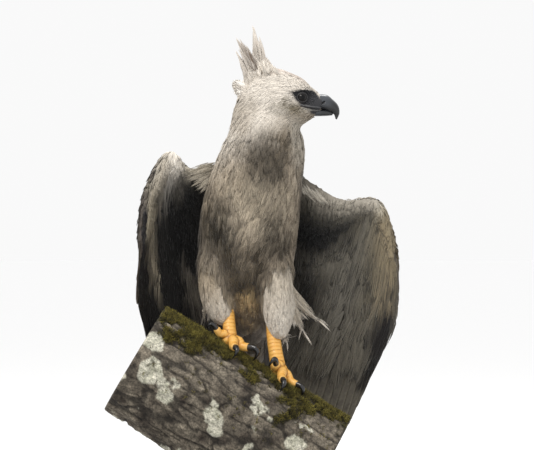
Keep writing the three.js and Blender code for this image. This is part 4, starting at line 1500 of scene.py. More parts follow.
def flight_colour(upper, under, across, share, bars, rng):
    """Vane colours, the upper face's rows first, with alpha as the strength of the bars."""
    half = len(across) // 2
    colour = np.concatenate([upper[:half], under[half:]])
    edge = np.abs(across) ** 4 * 0.22
    colour = blend(colour, colour * 1.5, edge)
    shaft = np.exp(-((across / 0.1) ** 2))
    colour = blend(colour, tone(190, 180, 160), 0.22 * shaft)
    strength = np.repeat(bars, half) * smooth(0.1, 0.35, share)
    return np.column_stack([colour * rng.uniform(0.93, 1.07), strength])


def wing_flight(wing, material):
    for group, first, last, count in (("secondaries", 0.0, WRIST_AT, 15),
                                      ("primaries", WRIST_AT, 1.0, 10)):
        rng = np.random.default_rng(700 + count * wing.turned)
        primaries = group == "primaries"
        feathers = []
        step = (last - first) / count
        for k in range(count):
            s0 = first + (k + 0.5) * step
            pointed = 0.9 if primaries else 0.25
            reach = 1.0 - 0.012 * (k % 2) - (0.03 if primaries else 0.0) * rng.random()
            wide = step * (1.05 if primaries else 1.12)

            def place_of(side, t, s0=s0, wide=wide):
                s = np.clip(s0 + side * wide, 0.0, 1.0)
                p, _, up = wing.frames(s, t)
                return p + up * (0.9 * MM * side)[:, None], up

            begin = float(covert_end(np.array(s0))) * 0.78
            points, across, share = flight_feather(place_of, begin, reach, pointed)
            length = wing.down_per_t(np.array([s0]), np.array([0.6]))[0] * (reach - begin)
            tip = blend(FLIGHT_UPPER, FLIGHT_TIP,
                        smooth(0.45, 1.0, share) * (0.85 if primaries else 0.3))
            colour = flight_colour(tip, under_colour(wing, points), across, share,
                                   (0.85, 0.16 if primaries else 0.1), rng)
            feathers.append((points, across, share, 2 * wide * 0.3, length, colour))
        flight_coat(f"{group}_{wing.side}", material, feathers, [f"wing_{wing.side}_{group}"])


TAIL_FEATHERS = 12
TAIL_ROOT = bird(-13, 121, 34)
TAIL_DROP = unit(np.array([0.03, 0.36, -0.93]))
TAIL_BACK = [0, 0.93, 0.36]
TAIL_VANE_WIDTH, TAIL_VANE_LENGTH = 0.03, 0.36


def tail_place(s, t):
    """Places on the tail's curved sheet: s runs across it, and t down to its end."""
    across = (s - 0.5) * 2
    half = mix(24, 66, np.sqrt(t)) * MM
    bulge = (16 * (1 - across**2) * smooth(0, 0.5, t) + 8 * np.sin(np.pi * t)) * MM
    length = 365 * MM * (1 - 0.06 * across**2)
    place = TAIL_ROOT + np.outer(across * half, [1, 0, 0]) + np.outer(t * length, TAIL_DROP)
    return place + np.outer(bulge, TAIL_BACK)


def tail_flight(material):
    rng = np.random.default_rng(800)
    feathers = []
    for k in range(TAIL_FEATHERS):
        s0 = (k + 0.5) / TAIL_FEATHERS
        outward = np.sign(s0 - 0.5) * abs(s0 - 0.5) * 2
        layer = (1 - abs(s0 - 0.5) * 2) * 1.6 * MM

        def place_of(side, t, s0=s0, outward=outward, layer=layer):
            s = np.clip(s0 + side * 0.085, 0.0, 1.0)
            p = tail_place(s, t)
            up = np.tile(unit(np.array(TAIL_BACK)), (len(p), 1))
            return p + up * (layer + 0.6 * MM * side * np.sign(-outward))[:, None], up

        stop = 0.985 - 0.02 * rng.random()
        points, across, share = flight_feather(place_of, 0.02, stop, 0.15)
        grey = np.tile(FLIGHT_UPPER, (len(points), 1))
        colour = flight_colour(grey, grey, across, share, (0.95, 0.85), rng)
        feathers.append((points, across, share, TAIL_VANE_WIDTH, TAIL_VANE_LENGTH, colour))
    flight_coat("tail_feathers", material, feathers, ["tail"])


# Free feathers: the crests and the loose plumes
def curve_trail(roots, tips, facing, bow):
    """Trails from roots to tips whose flat side faces a direction, bowed out by a share."""
    along = tips - roots
    lengths = np.linalg.norm(along, axis=1)
    ways = unit(along)
    sides = unit(np.cross(facing, ways))
    ups = unit(np.cross(ways, sides))
    share = np.linspace(0, 1, STATIONS)[None, :, None]
    arch = bow * lengths
    places = roots[:, None] + along[:, None] * share
    places = places + ups[:, None] * arch[:, None, None] * np.sin(np.pi * share)
    sides, ups = (np.repeat(a[:, None], STATIONS, 1) for a in (sides, ups))
    return Trail(places, sides, ups, lengths)


# Fans of free feathers: roots from low to high, and tips along a curve through places
CRESTS = {
    "crest_left": dict(low=(-4, -8, 550), high=(20, -4, 549), count=10, width=13, heart=0.15,
                       tips=((-16, 4, 640), (-13, 5, 633), (-6, 6, 620), (1, 5, 604), (9, 3, 583),
                             (15, 0, 566))),
    "crest_right": dict(low=(-21, -20, 517), high=(10, -24, 543), count=19, width=10, heart=1.0,
                        tips=((-34, -34, 558), (-39, -34, 574), (-47, -33, 586), (-40, -34, 592),
                              (-45, -30, 612), (-31, -32, 599), (-22, -34, 588), (-10, -34, 574),
                              (2, -30, 564))),
}
PLUMES = {
    "plumes_thigh_left": dict(low=(50, 6, 150), high=(58, 12, 88), count=64, width=6, colour=THIGH,
                              tips=((113, 28, 70), (104, 26, 72), (98, 24, 78), (84, 26, 56),
                                    (76, 26, 62), (70, 22, 60))),
    "plumes_nape": dict(low=(-24, -14, 498), high=(-12, -14, 518), count=230, width=9,
                        colour=tone(248, 243, 236), spread=8,
                        look=dict(curl=0.05, slim=0.9, root_shade=1.0),
                        tips=((-42, -14, 499), (-47, -14, 506), (-53, -14, 513), (-51, -14, 521),
                              (-55, -14, 531), (-44, -14, 527))),
    "plumes_crest_foot": dict(low=(-24, -22, 508), high=(24, -26, 546), count=150, width=8,
                              colour=CREAM, spread=11,
                              look=dict(curl=0.1, slim=0.9, root_shade=1.0),
                              tips=((-31, -24, 536), (-31, -28, 550), (-24, -30, 560),
                                    (-10, -32, 568), (4, -30, 570), (18, -26, 562))),
    "plumes_hackles": dict(low=(-26, -14, 478), high=(-36, -14, 424), count=110, width=5,
                           colour=CREAM, spread=12,
                           look=dict(curl=0.15, slim=0.8, root_shade=0.95),
                           tips=((-44, -14, 483), (-50, -14, 474), (-55, -14, 464),
                                 (-56, -14, 450), (-60, -14, 436), (-64, -14, 420))),
    "plumes_shoulder_left": dict(low=(68, 18, 338), high=(112, 6, 314), count=34, width=5,
                                 colour=tone(196, 189, 176),
                                 tips=((92, -4, 302), (112, -8, 294), (128, -8, 290),
                                       (138, -8, 296))),
    "plumes_shoulder_right": dict(low=(-92, 12, 374), high=(-84, 0, 338), count=80, width=5,
                                  colour=tone(176, 167, 151),
                                  tips=((-152, 4, 358), (-150, -4, 346), (-140, -8, 332),
                                        (-122, -10, 316), (-104, -8, 302))),
}


def fan_trail(rng, fan, count, scatter, reach=1.0):
    """Trails fanned from the line of roots to the curve of tips."""
    share = (np.arange(count) + rng.random(count)) / count
    roots = blend(bird(*fan["low"]), bird(*fan["high"]), share)
    aside = rng.normal(0, 1, count)[:, None] * [0, fan.get("spread", 0), 0]
    roots = roots + (rng.normal(0, scatter, (count, 3)) + aside) * MM
    ends = spline(rows_of(*fan["tips"]), share)
    ends = ends + (rng.normal(0, 0.5 * scatter, (count, 3)) + 0.5 * aside) * MM
    ends = mix(roots, ends, np.reshape(reach, (-1, 1)))
    facing = unit(np.array([0.2, -1, 0.1]) + rng.normal(0, 0.3, (count, 3)))
    return curve_trail(roots, ends, facing, rng.uniform(-0.04, 0.08, count))


BROWN, DOWN_BROWN = tone(84, 64, 48), tone(96, 76, 58)


def heart_of(fan, count, rng, least):
    """How brown each of a crest's feathers is, most of all in the fan's middle."""
    middle = np.exp(-(((np.arange(count) / count - 0.66) / 0.2) ** 2))
    return fan["heart"] * (0.28 + 0.72 * middle) * rng.uniform(least, 1, count)


def crests(skin, material):
    """Long narrow feathers, with shorter down at their feet."""
    for name, fan in CRESTS.items():
        rng = np.random.default_rng(900 + fan["count"])
        coat = Coat(name + "_feathers", material, "head_plumage")
        count = fan["count"]
        trail = fan_trail(rng, fan, count, 2.5)
        colours = blend(CREST, BROWN, heart_of(fan, count, rng, 0.7))
        add_vanes(coat, trail, fan["width"] * rng.uniform(0.8, 1.2, count) * MM, colours, CREST,
                  skin.uv_under(trail), rng, edge=0.7, shaft=0.9, root_shade=0.9, lift=0.0,
                  outline=LANCE_WIDTH, rag=0.25)
        for count, reach, width in ((70, (0.3, 0.6), 7), (60, (0.6, 0.96), 4)):
            trail = fan_trail(rng, fan, count, 3.5, rng.uniform(*reach, count))
            colours = blend(CREST, DOWN_BROWN, heart_of(fan, count, rng, 0))
            add_soft_feathers(coat, trail, np.full(count, width * MM), 5, colours,
                              skin.uv_under(trail), rng, slim=0.8, curl=0.3)
        coat.build(name)


def plumes(skin, material):
    for name, fan in PLUMES.items():
        rng = np.random.default_rng(950 + fan["count"])
        coat = Coat(name, material, "body_plumage")
        count = fan["count"]
        trail = fan_trail(rng, fan, count, 3.5, rng.uniform(0.45, 1.05, count))
        colours = fan["colour"] * rng.uniform(0.85, 1.12, (count, 1))
        look = {"slim": 0.6, "curl": 0.3} | fan.get("look", {})
        add_soft_feathers(coat, trail, fan["width"] * rng.uniform(0.7, 1.2, count) * MM, 5, colours,
                          skin.uv_under(trail), rng, **look)
        coat.build()


# The bill: rows of x, z, half width, below and above, in bird millimetres
BILL_UPPER = [
    (84, 485.5, 16.5, 5, 9),
    (100, 487, 16.5, 8.5, 12.5),
    (119, 487.5, 14, 12, 16.5),
    (132, 483.5, 11, 12.5, 12),
    (141.8, 477.5, 7.8, 11.5, 7.8),
    (146.6, 467.5, 4.4, 8, 3.4),
    (144.2, 457, 1.0, 1.5, 1.3),
]
BILL_LOWER = [
    (80, 471.5, 14, 7, 8),
    (102, 470, 12, 7.5, 6.5),
    (118, 469, 9.2, 6.2, 6.3),
    (129, 468.3, 6.8, 5, 5),
    (137, 466.8, 3.6, 2.6, 2.6),
]
NOSTRIL = dict(x=119, z=487.6, long=6.2, high=2.2, slope=np.radians(38), deep=3.2)
HORN_TIP = tone(24, 25, 27)
HORN = tone(64, 68, 74)
HORN_BASE = tone(96, 99, 102)


def shaped_bill(rows, rings, sides):
    """A bill half with its cere, nostrils and fine growth lines, and its colours."""
    points, ends, (centres, front) = loft(
        [(x, HEAD_Y, *rest) for x, *rest in rows], rings, sides, across=(0, -1, 0), power=2.15)
    p = in_bird(points)
    x, y, z = p[..., 0], p[..., 1], p[..., 2]
    out = unit(points - centres[:, None])
    cere = 1 - smooth(-1.2, 1.2, x - (107 + 0.28 * (z - 484)))
    ridge = np.exp(-((np.abs(y - HEAD_Y) / 2.2) ** 2)) * (out @ -front[len(front) // 2] > 0.3)
    lift = 0.7 * cere + 0.35 * ridge * smooth(104, 112, x)
    turn = NOSTRIL["slope"]
    a, b = x - NOSTRIL["x"], z - NOSTRIL["z"]
    slot = np.hypot((a * np.cos(turn) + b * np.sin(turn)) / NOSTRIL["long"],
                    (b * np.cos(turn) - a * np.sin(turn)) / NOSTRIL["high"])
    hole = (1 - smooth(0.55, 1.05, slot)) * (np.abs(y - HEAD_Y) > 6)
    rim = np.exp(-(((slot - 1.5) / 0.4) ** 2))
    lift = lift - NOSTRIL["deep"] * hole + 0.3 * rim
    lift = lift + 0.12 * noise(p * [0.25, 1, 1], 2.2, 61) * (1 - cere)
    lift = lift + 0.18 * noise(p, 1.6, 62) * cere
    points = points + out * (lift * MM)[..., None]
    colour = blend(HORN, HORN_TIP, smooth(122, 146, x))
    colour = blend(colour, HORN_BASE, 0.75 * cere)
    # The upper bill darkens toward the mouth line: painted shade, which leaves its top lighter as
    # painted light from above
    colour = blend(colour, HORN_TIP, 0.85 * smooth(489, 474, z) * smooth(104, 120, x))
    streak = 0.5 + 0.5 * noise(p * [0.12, 1, 1], 3, 63)
    colour = colour * (0.82 + 0.3 * streak)[..., None]
    # The nostrils painted near black as the shade inside them
    colour = blend(colour, tone(12, 11, 11), hole)
    return points, ends, colour


def bill(material):
    made = []
    for name, rows in (("bill_upper", BILL_UPPER), ("bill_lower", BILL_LOWER)):
        obj = tube_object(name + "_horn", *shaped_bill(rows, 90, 72))
        made.append(finish_piece(obj, material, "horn", name))
    return made


# The mouth's soft edges above and below its dark line, which is a tube of painted shade in the slit:
# stations of (x, z, radius), and a colour
GAPE = {
    "above": ([(75, 482.6, 0.6), (83, 481.9, 1.6), (94, 480.2, 1.8), (104, 479.4, 1.7),
               (115, 478.6, 1.0)], tone(92, 91, 92)),
    # A near-black tube as the painted shade in the mouth's slit
    "line": ([(75, 480.2, 0.5), (84, 478.7, 1.1), (94, 477.0, 1.2), (104, 476.3, 1.1),
              (115, 476.0, 0.7)], tone(5, 5, 6)),
    "below": ([(79, 476.6, 0.6), (86, 475.2, 1.6), (94, 473.6, 1.7), (104, 472.9, 1.6),
               (114, 472.8, 0.9)], tone(128, 124, 116)),
}


def side_place(trees, x, z, side):
    """The outermost place on some surfaces at x and z, seen from one side of the head."""
    start = bird(x, HEAD_Y + side * 200, z)
    hits = [tree.ray_cast(Vector(start), Vector((0, -side, 0)))[0] for tree in trees]
    return max((np.array(hit) for hit in hits if hit is not None), key=lambda hit: side * hit[1])


def gape(skin, horn_parts, material):
    """The mouth's edges and its line of painted shade on both sides, laid on the skin and the bill.
    """
    trees = [skin.tree] + [tree_from(points_of(obj.data), faces_of(obj.data)) for obj in horn_parts]
    for name, (stations, tint) in GAPE.items():
        tubes = []
        for side in (-1, 1):
            rows = [(*in_bird(side_place(trees, x, z, side)), radius * 0.8, radius, radius)
                    for x, z, radius in stations]
            tubes.append(tube(*loft(rows, 44, 14, across=(0, 1, 0), dome=0.8)[:2]))
        points, faces = joined(tubes)
        p = in_bird(points)
        points = points + (0.25 * noise(p, 2.2, 64) * MM)[:, None] * [0, 0, 1]
        colours = tint * (1 + (name == "above") * smooth(84, 77, p[:, :1]))
        colours = blend(colours, FACE_GREY, 0.75 * smooth(90, 104, p[:, 0]) * (name != "line"))
        colours = colours * (1 + 0.25 * noise(p, 3, 65))[:, None]
        finish_piece(mesh_object(f"gape_{name}", points, faces, colours), material, "horn")


# Eyes and lids
EYE_RADIUS = 10.3
CORNEA_RISE = 0.8
PUPIL, IRIS_DARK, IRIS_LIGHT, EYE_RIM = (tone(4, 4, 5), tone(14, 12, 12), tone(30, 25, 22),
                                         tone(12, 10, 10))
GAZE = np.array([0.26, 1.0, 0.02])


def eye_frame(side):
    """An eye's centre, and its directions out, forward and up."""
    centre = bird(EYE_X, HEAD_Y + side * EYE_OUT, EYE_Z)
    gaze = unit(GAZE * [1, side, 1])
    up = unit(np.array([0, 0, 1.0]) - gaze * gaze[2])
    return centre, gaze, unit(np.cross(up, gaze)) * side, up


def round_eye(frame_of_eye, radius, angle, turn):
    """Points on a ball at an angle from the gaze, turned from forward toward up."""
    centre, gaze, forward, up = frame_of_eye
    ring = forward * np.cos(turn)[..., None] + up * np.sin(turn)[..., None]
    way = gaze * np.cos(angle)[..., None] + ring * np.sin(angle)[..., None]
    return centre + way * (radius * MM)[..., None]


def eyes(material, lid_material):
    for name, side in (("right", -1), ("left", 1)):
        space = eye_frame(side)
        angle, turn = np.meshgrid(np.linspace(0.02, np.pi * 0.97, 56), around(64), indexing="ij")
        radius = EYE_RADIUS + CORNEA_RISE * np.exp(-((angle / 0.55) ** 2))
        points = round_eye(space, radius, angle, turn)
        ends = np.stack([space[0] + space[1] * (EYE_RADIUS + CORNEA_RISE) * MM,
                         space[0] - space[1] * EYE_RADIUS * MM])
        out = EYE_RADIUS * np.sin(angle) + 20 * (angle > np.pi / 2)
        rays = 0.5 + 0.5 * noise(np.stack([turn * 9, out * 0.5, 0 * out], -1), 1, 71)
        iris = blend(IRIS_DARK, IRIS_LIGHT, rays * smooth(3.6, 5.4, out))
        colour = blend(iris, PUPIL, 1 - smooth(3.7, 4.2, out))
        colour = blend(colour, EYE_RIM, smooth(6.4, 7.4, out))
        obj = tube_object("eyeball_" + name, points, ends, colour)
        finish_piece(obj, material, "eye", "eye_" + name)
        lids(name, space, lid_material)


# The lids' section: (radius from the eye's centre, degrees out from the opening's edge)
LID_SECTION = [(10.25, 0), (10.9, -0.5), (11.7, 3), (12.2, 10), (12.2, 19), (11.0, 30), (9.2, 22),
               (9.2, 8)]


def lids(name, space, material):
    """Both lids of an eye as one creased ring, flatter above the eye."""
    turn = around(96)
    opening = 50 - 11 * np.clip(np.sin(turn), 0, 1) ** 1.5 - 3 * np.clip(-np.sin(turn), 0, 1)
    opening = opening + 7 * np.abs(np.cos(turn)) ** 8
    rings = []
    for radius, spread in LID_SECTION:
        crease = 0.18 * np.sin(turn * 22) * (1 < spread < 25)
        rings.append(round_eye(space, radius + crease, np.radians(opening + spread), turn))
    points = np.stack(rings, 1)
    edge = np.zeros(points.shape[:2])
    edge[:, 1:3] = 1
    colour = blend(tone(24, 23, 24), tone(38, 36, 37), edge)
    obj = mesh_object("lids_" + name, points.reshape(-1, 3), loop_quads(*edge.shape),
                      colour.reshape(-1, 3))
    finish_piece(obj, material, "head_plumage")


# The limb, in millimetres and radians: along it, and turned from its top toward the viewer
LIMB_RADIUS = 115
LIMB_START, LIMB_END = -205, 205
LIMB_SLOPE = np.radians(31)
LIMB_ALONG = np.array([np.cos(LIMB_SLOPE), 0, -np.sin(LIMB_SLOPE)])
LIMB_OUT = np.array([np.sin(LIMB_SLOPE), 0, np.cos(LIMB_SLOPE)])
LIMB_CENTRE = np.array([-5, 0, -6.5]) - LIMB_OUT * LIMB_RADIUS


def on_limb(along, turn, above):
    """Row-frame places along and round the limb, above its round surface."""
    along, turn, above = np.broadcast_arrays(*(np.asarray(a, float) for a in (along, turn, above)))
    reach = LIMB_RADIUS + above
    place = LIMB_CENTRE + along[..., None] * LIMB_ALONG
    place = place + (np.cos(turn) * reach)[..., None] * LIMB_OUT
    place = place - (np.sin(turn) * reach)[..., None] * [0, 1, 0]
    return FEET + MM * place


def limb_normal(turn):
    """The way out of the limb."""
    return unit(on_limb(0, turn, 1) - on_limb(0, turn, 0))


def from_top(turn):
    """How far round the limb a turn is from its top, either way."""
    return np.abs((turn + np.pi) % (2 * np.pi) - np.pi)


def limb_lobes(along, turn):
    """How far the limb's underside lies inside its round top's radius."""
    ring = 8 * (along - LIMB_START) / (LIMB_END - LIMB_START)
    lobes = 4 * (1 + np.sin(3 * turn + 0.7 * ring)) + 2 * np.sin(5 * turn - ring)
    return (1 - np.maximum(np.cos(turn), 0)) * lobes


def limb_spot(along, turn, stretch=1.0):
    """Places for noise on the limb's surface, in millimetres."""
    turned = np.stack([np.cos(turn), np.sin(turn), 0 * turn], -1) * LIMB_RADIUS
    return turned + np.stack([0 * along, 0 * along, along * stretch], -1)


def limb_bark(along, turn):
    """The bark's relief in millimetres, with plates between long cracks."""
    spot = limb_spot(along, turn, 0.36)
    wander = spot + 8 * noise(spot, 26, 81)[..., None]
    cracks = smooth(0.8, 0.98, 1 - np.abs(noise(wander, 17, 82)))
    small = smooth(0.72, 0.98, 1 - np.abs(noise(wander, 7, 88)))
    plates = rough_noise(spot, 22, 83)
    fine = rough_noise(limb_spot(along, turn), 6, 84)
    cracks = np.clip(cracks + 0.5 * small, 0, 1)
    return 1.3 * plates - 3.6 * cracks + fine, cracks, fine


# Round lichen crusts on the limb: (along, turn, radius)
LICHENS = [(-166, 1.5, 26), (-190, 1.05, 22), (-120, 1.75, 16), (-22, 1.66, 18), (-8, 1.86, 12),
           (136, 1.3, 18), (100, 2.4, 22), (-60, 3.0, 26), (150, 3.4, 20)]


def lichen_amount(along, turn):
    """Where pale crusts cover the bark, less toward its top."""
    spot = limb_spot(along, turn)
    ragged = 13 * rough_noise(spot, 24, 91, 5)
    amount = smooth(0.32, 0.42, rough_noise(spot, 30, 93, 4))
    for at, turned, radius in LICHENS:
        gap = np.hypot(along - at, (turn - turned) * LIMB_RADIUS)
        amount = np.maximum(amount, 1 - smooth(radius - 2, radius + 2, gap + ragged))
    return amount * (1 - smooth(0.8, 0.95, np.cos(turn)))


def moss_amount(along, turn):
    """How thickly moss covers the limb: mostly along its top, in ragged cushions."""
    spot = limb_spot(along, turn)
    ragged = rough_noise(spot, 42, 96)
    clumps = rough_noise(spot, 13, 99)
    reach = 0.8 + 1.15 * ragged + 0.3 * clumps
    return smooth(-0.12, 0.3, reach - from_top(turn)) * (0.55 + 0.45 * smooth(-0.3, 0.4, clumps))


def limb(material):
    """The bark and both sawn ends as one mesh, whose alpha is 1 on the bark and 0 on the wood."""
    rings, sides = 200, 300
    along, turn = np.meshgrid(np.linspace(LIMB_START, LIMB_END, rings), around(sides), indexing="ij")
    relief, cracks, fine = limb_bark(along, turn)
    moss_here, lichen = moss_amount(along, turn), lichen_amount(along, turn)
    lichen = lichen * (1 - moss_here)
    rough = relief + lichen * (0.7 + fine)
    on_top = 1 - smooth(0.5, 1.1, from_top(turn))
    height = np.minimum(rough, mix(1.6, 0.0, on_top)) - limb_lobes(along, turn)
    at_cut = np.minimum(along - LIMB_START, LIMB_END - along)
    height = height - 2.5 * (1 - smooth(0, 3, at_cut))
    points = on_limb(along, turn, height)
    tint = np.clip(0.5 + 0.9 * rough_noise(in_bird(points), 24, 85, 4), 0, 1)
    colour = blend(tone(62, 54, 46), tone(136, 127, 112), tint)
    # Painted shade in the cracks, and painted light and shade where the fine relief rises and sinks
    colour = blend(colour, tone(24, 20, 17), 0.75 * cracks)
    colour = colour * (1 + 0.75 * fine)[..., None]
    crust = blend(tone(208, 204, 188), tone(150, 150, 130), np.clip(0.4 + 0.8 * fine, 0, 1))
    colour = blend(colour, crust, lichen)
    colour = blend(colour, tone(44, 40, 20), 0.9 * smooth(0.05, 0.45, moss_here))
    grid = np.arange(rings * sides).reshape(rings, sides)
    beside = np.roll(grid, -1, 1)
    faces = [np.stack([grid[:-1], beside[:-1], beside[1:], grid[1:]], -1).reshape(-1, 4)]
    shell, colours, away = [points.reshape(-1, 3)], [colour.reshape(-1, 3)], [np.zeros(grid.size)]
    for ring, way in ((0, 1), (rings - 1, -1)):
        size = sum(len(a) for a in shell)
        cut = limb_cut(points[ring], grid[ring], size, way)
        for every, part in zip((shell, colours, away, faces), cut):
            every.append(part)
    shell, colours, away, faces = (np.concatenate(a) for a in (shell, colours, away, faces))
    is_bark = np.arange(len(shell)) < grid.size
    obj = mesh_object("limb_bark", shell, faces, np.column_stack([colours, is_bark]),
                      {VANE_MAP: np.column_stack([away, 0 * away])})
    finish_piece(obj, material, "bark", "perch_limb")


# A sawn end's rings: shares of the rim's radius, and how deep each lies
CUT_STEPS = np.array([0.992, 0.975, 0.955, 0.945, 0.93, 0.86, 0.72, 0.56, 0.4, 0.25, 0.12, 0.02])
CUT_DEPTHS = np.array([0.6, 1.2, 0.8, 2.4, 2.2, 2.0, 2.0, 2.0, 2.0, 2.0, 2.0, 2.0])


def limb_cut(rim, rim_rows, size, way):
    """A sawn end from the bark's rim to the pith: points, colours, radii and faces."""
    centre = rim.mean(0)
    spokes = rim - centre
    inward = LIMB_ALONG * way
    deep = inward * (CUT_DEPTHS - 0.6)[:, None, None] * MM
    points = centre + spokes[None] * CUT_STEPS[:, None, None] + deep
    away = np.linalg.norm(points - centre, axis=2)
    wood = blend(tone(176, 148, 110), tone(134, 98, 66), 0.8 * (1 - smooth(0.02, 0.06, away)))
    wood = blend(wood, tone(62, 48, 36), smooth(0.935, 0.95, CUT_STEPS)[:, None] + 0 * away)
    rows = np.concatenate([rim_rows[None], size + np.arange(away.size).reshape(away.shape)])
    beside = np.roll(rows, -1, 1)
    faces = np.stack([rows[:-1], rows[1:], beside[1:], beside[:-1]], -1).reshape(-1, 4)
    last = rows[-1]
    pairs = np.arange(0, len(last), 2)
    middle = np.full(len(pairs), size + away.size)
    pie = np.stack([last[pairs], middle, last[(pairs + 2) % len(last)], last[pairs + 1]], 1)
    faces = np.concatenate([faces, pie])
    every = np.concatenate([points.reshape(-1, 3), centre[None] + inward * 1.4 * MM])
    colours = np.concatenate([wood.reshape(-1, 3), tone(96, 74, 52)[None]])
    return every, colours, np.append(away.ravel(), 0), faces if way > 0 else faces[:, ::-1]


MOSS_TUFTS = 20000
MOSS_LEAVES = 6


def moss(material):
    """Cushions of moss: small pointed leaves in tufts along the limb's top."""
    rng = np.random.default_rng(1000)
    tries = int(MOSS_TUFTS * DENSITY)
    along = rng.uniform(LIMB_START + 3, LIMB_END - 3, tries)
    turn = rng.uniform(-1.7, 1.7, tries)
    amount = moss_amount(along, turn)
    kept = rng.random(tries) < smooth(0.15, 0.85, amount) * 0.9 + 0.012
    along, turn, amount = along[kept], turn[kept], amount[kept]
    roots = on_limb(along, turn, -0.8)
    out = unit(on_limb(along, turn, 10) - on_limb(along, turn, 0))
    count = len(roots)
    fresh = 0.5 + 0.5 * rough_noise(in_bird(roots), 15, 97)
    cushion = mix(0.4, 1.5, smooth(-0.45, 0.5, rough_noise(in_bird(roots), 7, 98, 2)))
    by_foot = np.exp(-((np.minimum(np.abs(along + 60), np.abs(along - 45)) / 34) ** 2))
    lean = unit(rng.normal(0, 1, (count, 3)))
    points, colours = [], []
    for _ in range(MOSS_LEAVES):
        way = unit(out + 0.35 * lean + rng.normal(0, 0.5, (count, 3)) + [0, -0.1, 0.1])
        length = rng.uniform(2.5, 6.0, count) + 5.0 * amount * fresh + 5 * by_foot * (turn > 0.15)
        length = (length * rng.uniform(0.6, 1.0, count))[:, None] * MM
        side = unit(np.cross(way, rng.normal(0, 1, (count, 3))))
        other = np.cross(way, side)
        foot = roots + rng.normal(0, 1.5, (count, 3)) * MM
        wide = rng.uniform(0.55, 1.1, (count, 1)) * MM
        for turned in np.radians([90, 210, 330]):
            points.append(foot + (side * np.cos(turned) + other * np.sin(turned)) * wide)
        points.append(foot + way * length + lean * length * 0.2)
        green = blend(tone(84, 78, 30), tone(142, 128, 58), rng.random(count))
        green = blend(green, tone(196, 186, 92), 0.9 * fresh**2 * rng.random(count))
        green = green * cushion[:, None]
        # Each leaf's base is near black: painted shade deep in the cushion
        colours += [green * 0.12] * 3 + [green]
    points = np.stack(points, 1).reshape(-1, 3)
    colours = np.stack(colours, 1).reshape(-1, 3)
    faces = repeated(spike_faces(1, 3), count * MOSS_LEAVES, 4)
    finish_piece(mesh_object("moss", points, faces, colours, flat=True), material, "bark")


# Legs, feet and claws, whose toes reach along the limb and turn round it
FOOT_TURN = 0.1
TOES = {
    "right": {
        "inner": dict(reach=36, turn=0.12, lift=12, thick=9.5, claw=40),
        "middle": dict(reach=15, turn=0.3, lift=8, thick=9, claw=32),
        "outer": dict(reach=-33, turn=0.1, lift=12, thick=8, claw=28),
        "hind": dict(reach=6, turn=-0.5, lift=0, thick=10, claw=58),
    },
    "left": {
        "inner": dict(reach=12, turn=0.16, lift=14, thick=9.5, claw=36),
        "middle": dict(reach=-14, turn=0.34, lift=4, thick=9, claw=34),
        "outer": dict(reach=-41, turn=0.16, lift=2, thick=8, claw=32),
        "hind": dict(reach=6, turn=-0.5, lift=0, thick=10, claw=58),
    },
}
# Each joint of a toe: its share of the toe's length and how far it arches up
TOE_JOINTS = [(0, 0), (0.36, 7), (0.7, 0), (1, 1.5)]
# Where each foot stands along the limb, the way to the other foot, and its shank's rows
LEGS = {
    "right": dict(along=-68, inward=1, shank=[(-68, 22, 132, 10, 10, 10), (-66, 16, 120, 11, 11, 11),
                  (-61, 4, 90, 12, 13, 13), (-58.5, -6, 62, 12.5, 13.5, 13.5),
                  (-57, -12, 40, 14, 15, 15), (-57, -13, 30, 13, 14, 14)]),
    "left": dict(along=41, inward=-1, shank=[(20, 20, 96, 10, 10, 10), (22, 16, 84, 11, 11, 11),
                 (25, 4, 48, 13, 13, 13), (29, -6, 16, 13.5, 13.5, 13.5),
                 (34, -12, -12, 14.5, 15, 15), (35, -13, -22, 13, 14, 14)]),
}
# A toe's radius at each joint as a share of its thickness, and the pad's heights and radii
TOE_RADII = (1.15, 1.05, 0.92, 0.82)
PAD = [(12, 8), (8, 13), (0, 16.5), (-8, 13), (-12, 8)]
LEG_YELLOW, LEG_ORANGE, LEG_CREASE_SHADE, LEG_RIDGE_HIGHLIGHT = (tone(236, 178, 82), tone(220, 152, 60),
                                                tone(140, 92, 40), tone(250, 214, 136))
FOOT_VOXEL = 0.00105


def toe_path(leg, toe):
    """A toe's joints, from the foot's middle along and round the limb."""
    reach = leg["along"] + leg["inward"] * toe["reach"]
    return [on_limb(mix(leg["along"], reach, t), FOOT_TURN + toe["turn"] * t,
                    toe["thick"] * 0.8 + arch + toe["lift"] * t) for t, arch in TOE_JOINTS]


def scuted(rows, rings, sides, across, plate, top, deep):
    """A limb or toe whose scutes are overlapping steps on the side that faces top."""
    points, ends, (centres, _) = loft(rows, rings, sides, across, dome=0.8)
    run = np.concatenate([[0], np.linalg.norm(np.diff(centres, axis=0), axis=1).cumsum()]) / MM
    out = unit(points - centres[:, None])
    facing = smooth(0.15, 0.7, out @ unit(np.array(top, float)))
    saw = (run / plate) % 1.0
    step = 0.6 * saw**0.6 - 0.7 * np.exp(-((np.minimum(saw, 1 - saw) / 0.09) ** 2))
    pebbles = 0.28 * noise(in_bird(points), 2.6, 98) - 0.1
    lift = facing * step[:, None] * deep + (1 - facing) * pebbles
    return points + out * (lift * MM)[..., None], ends


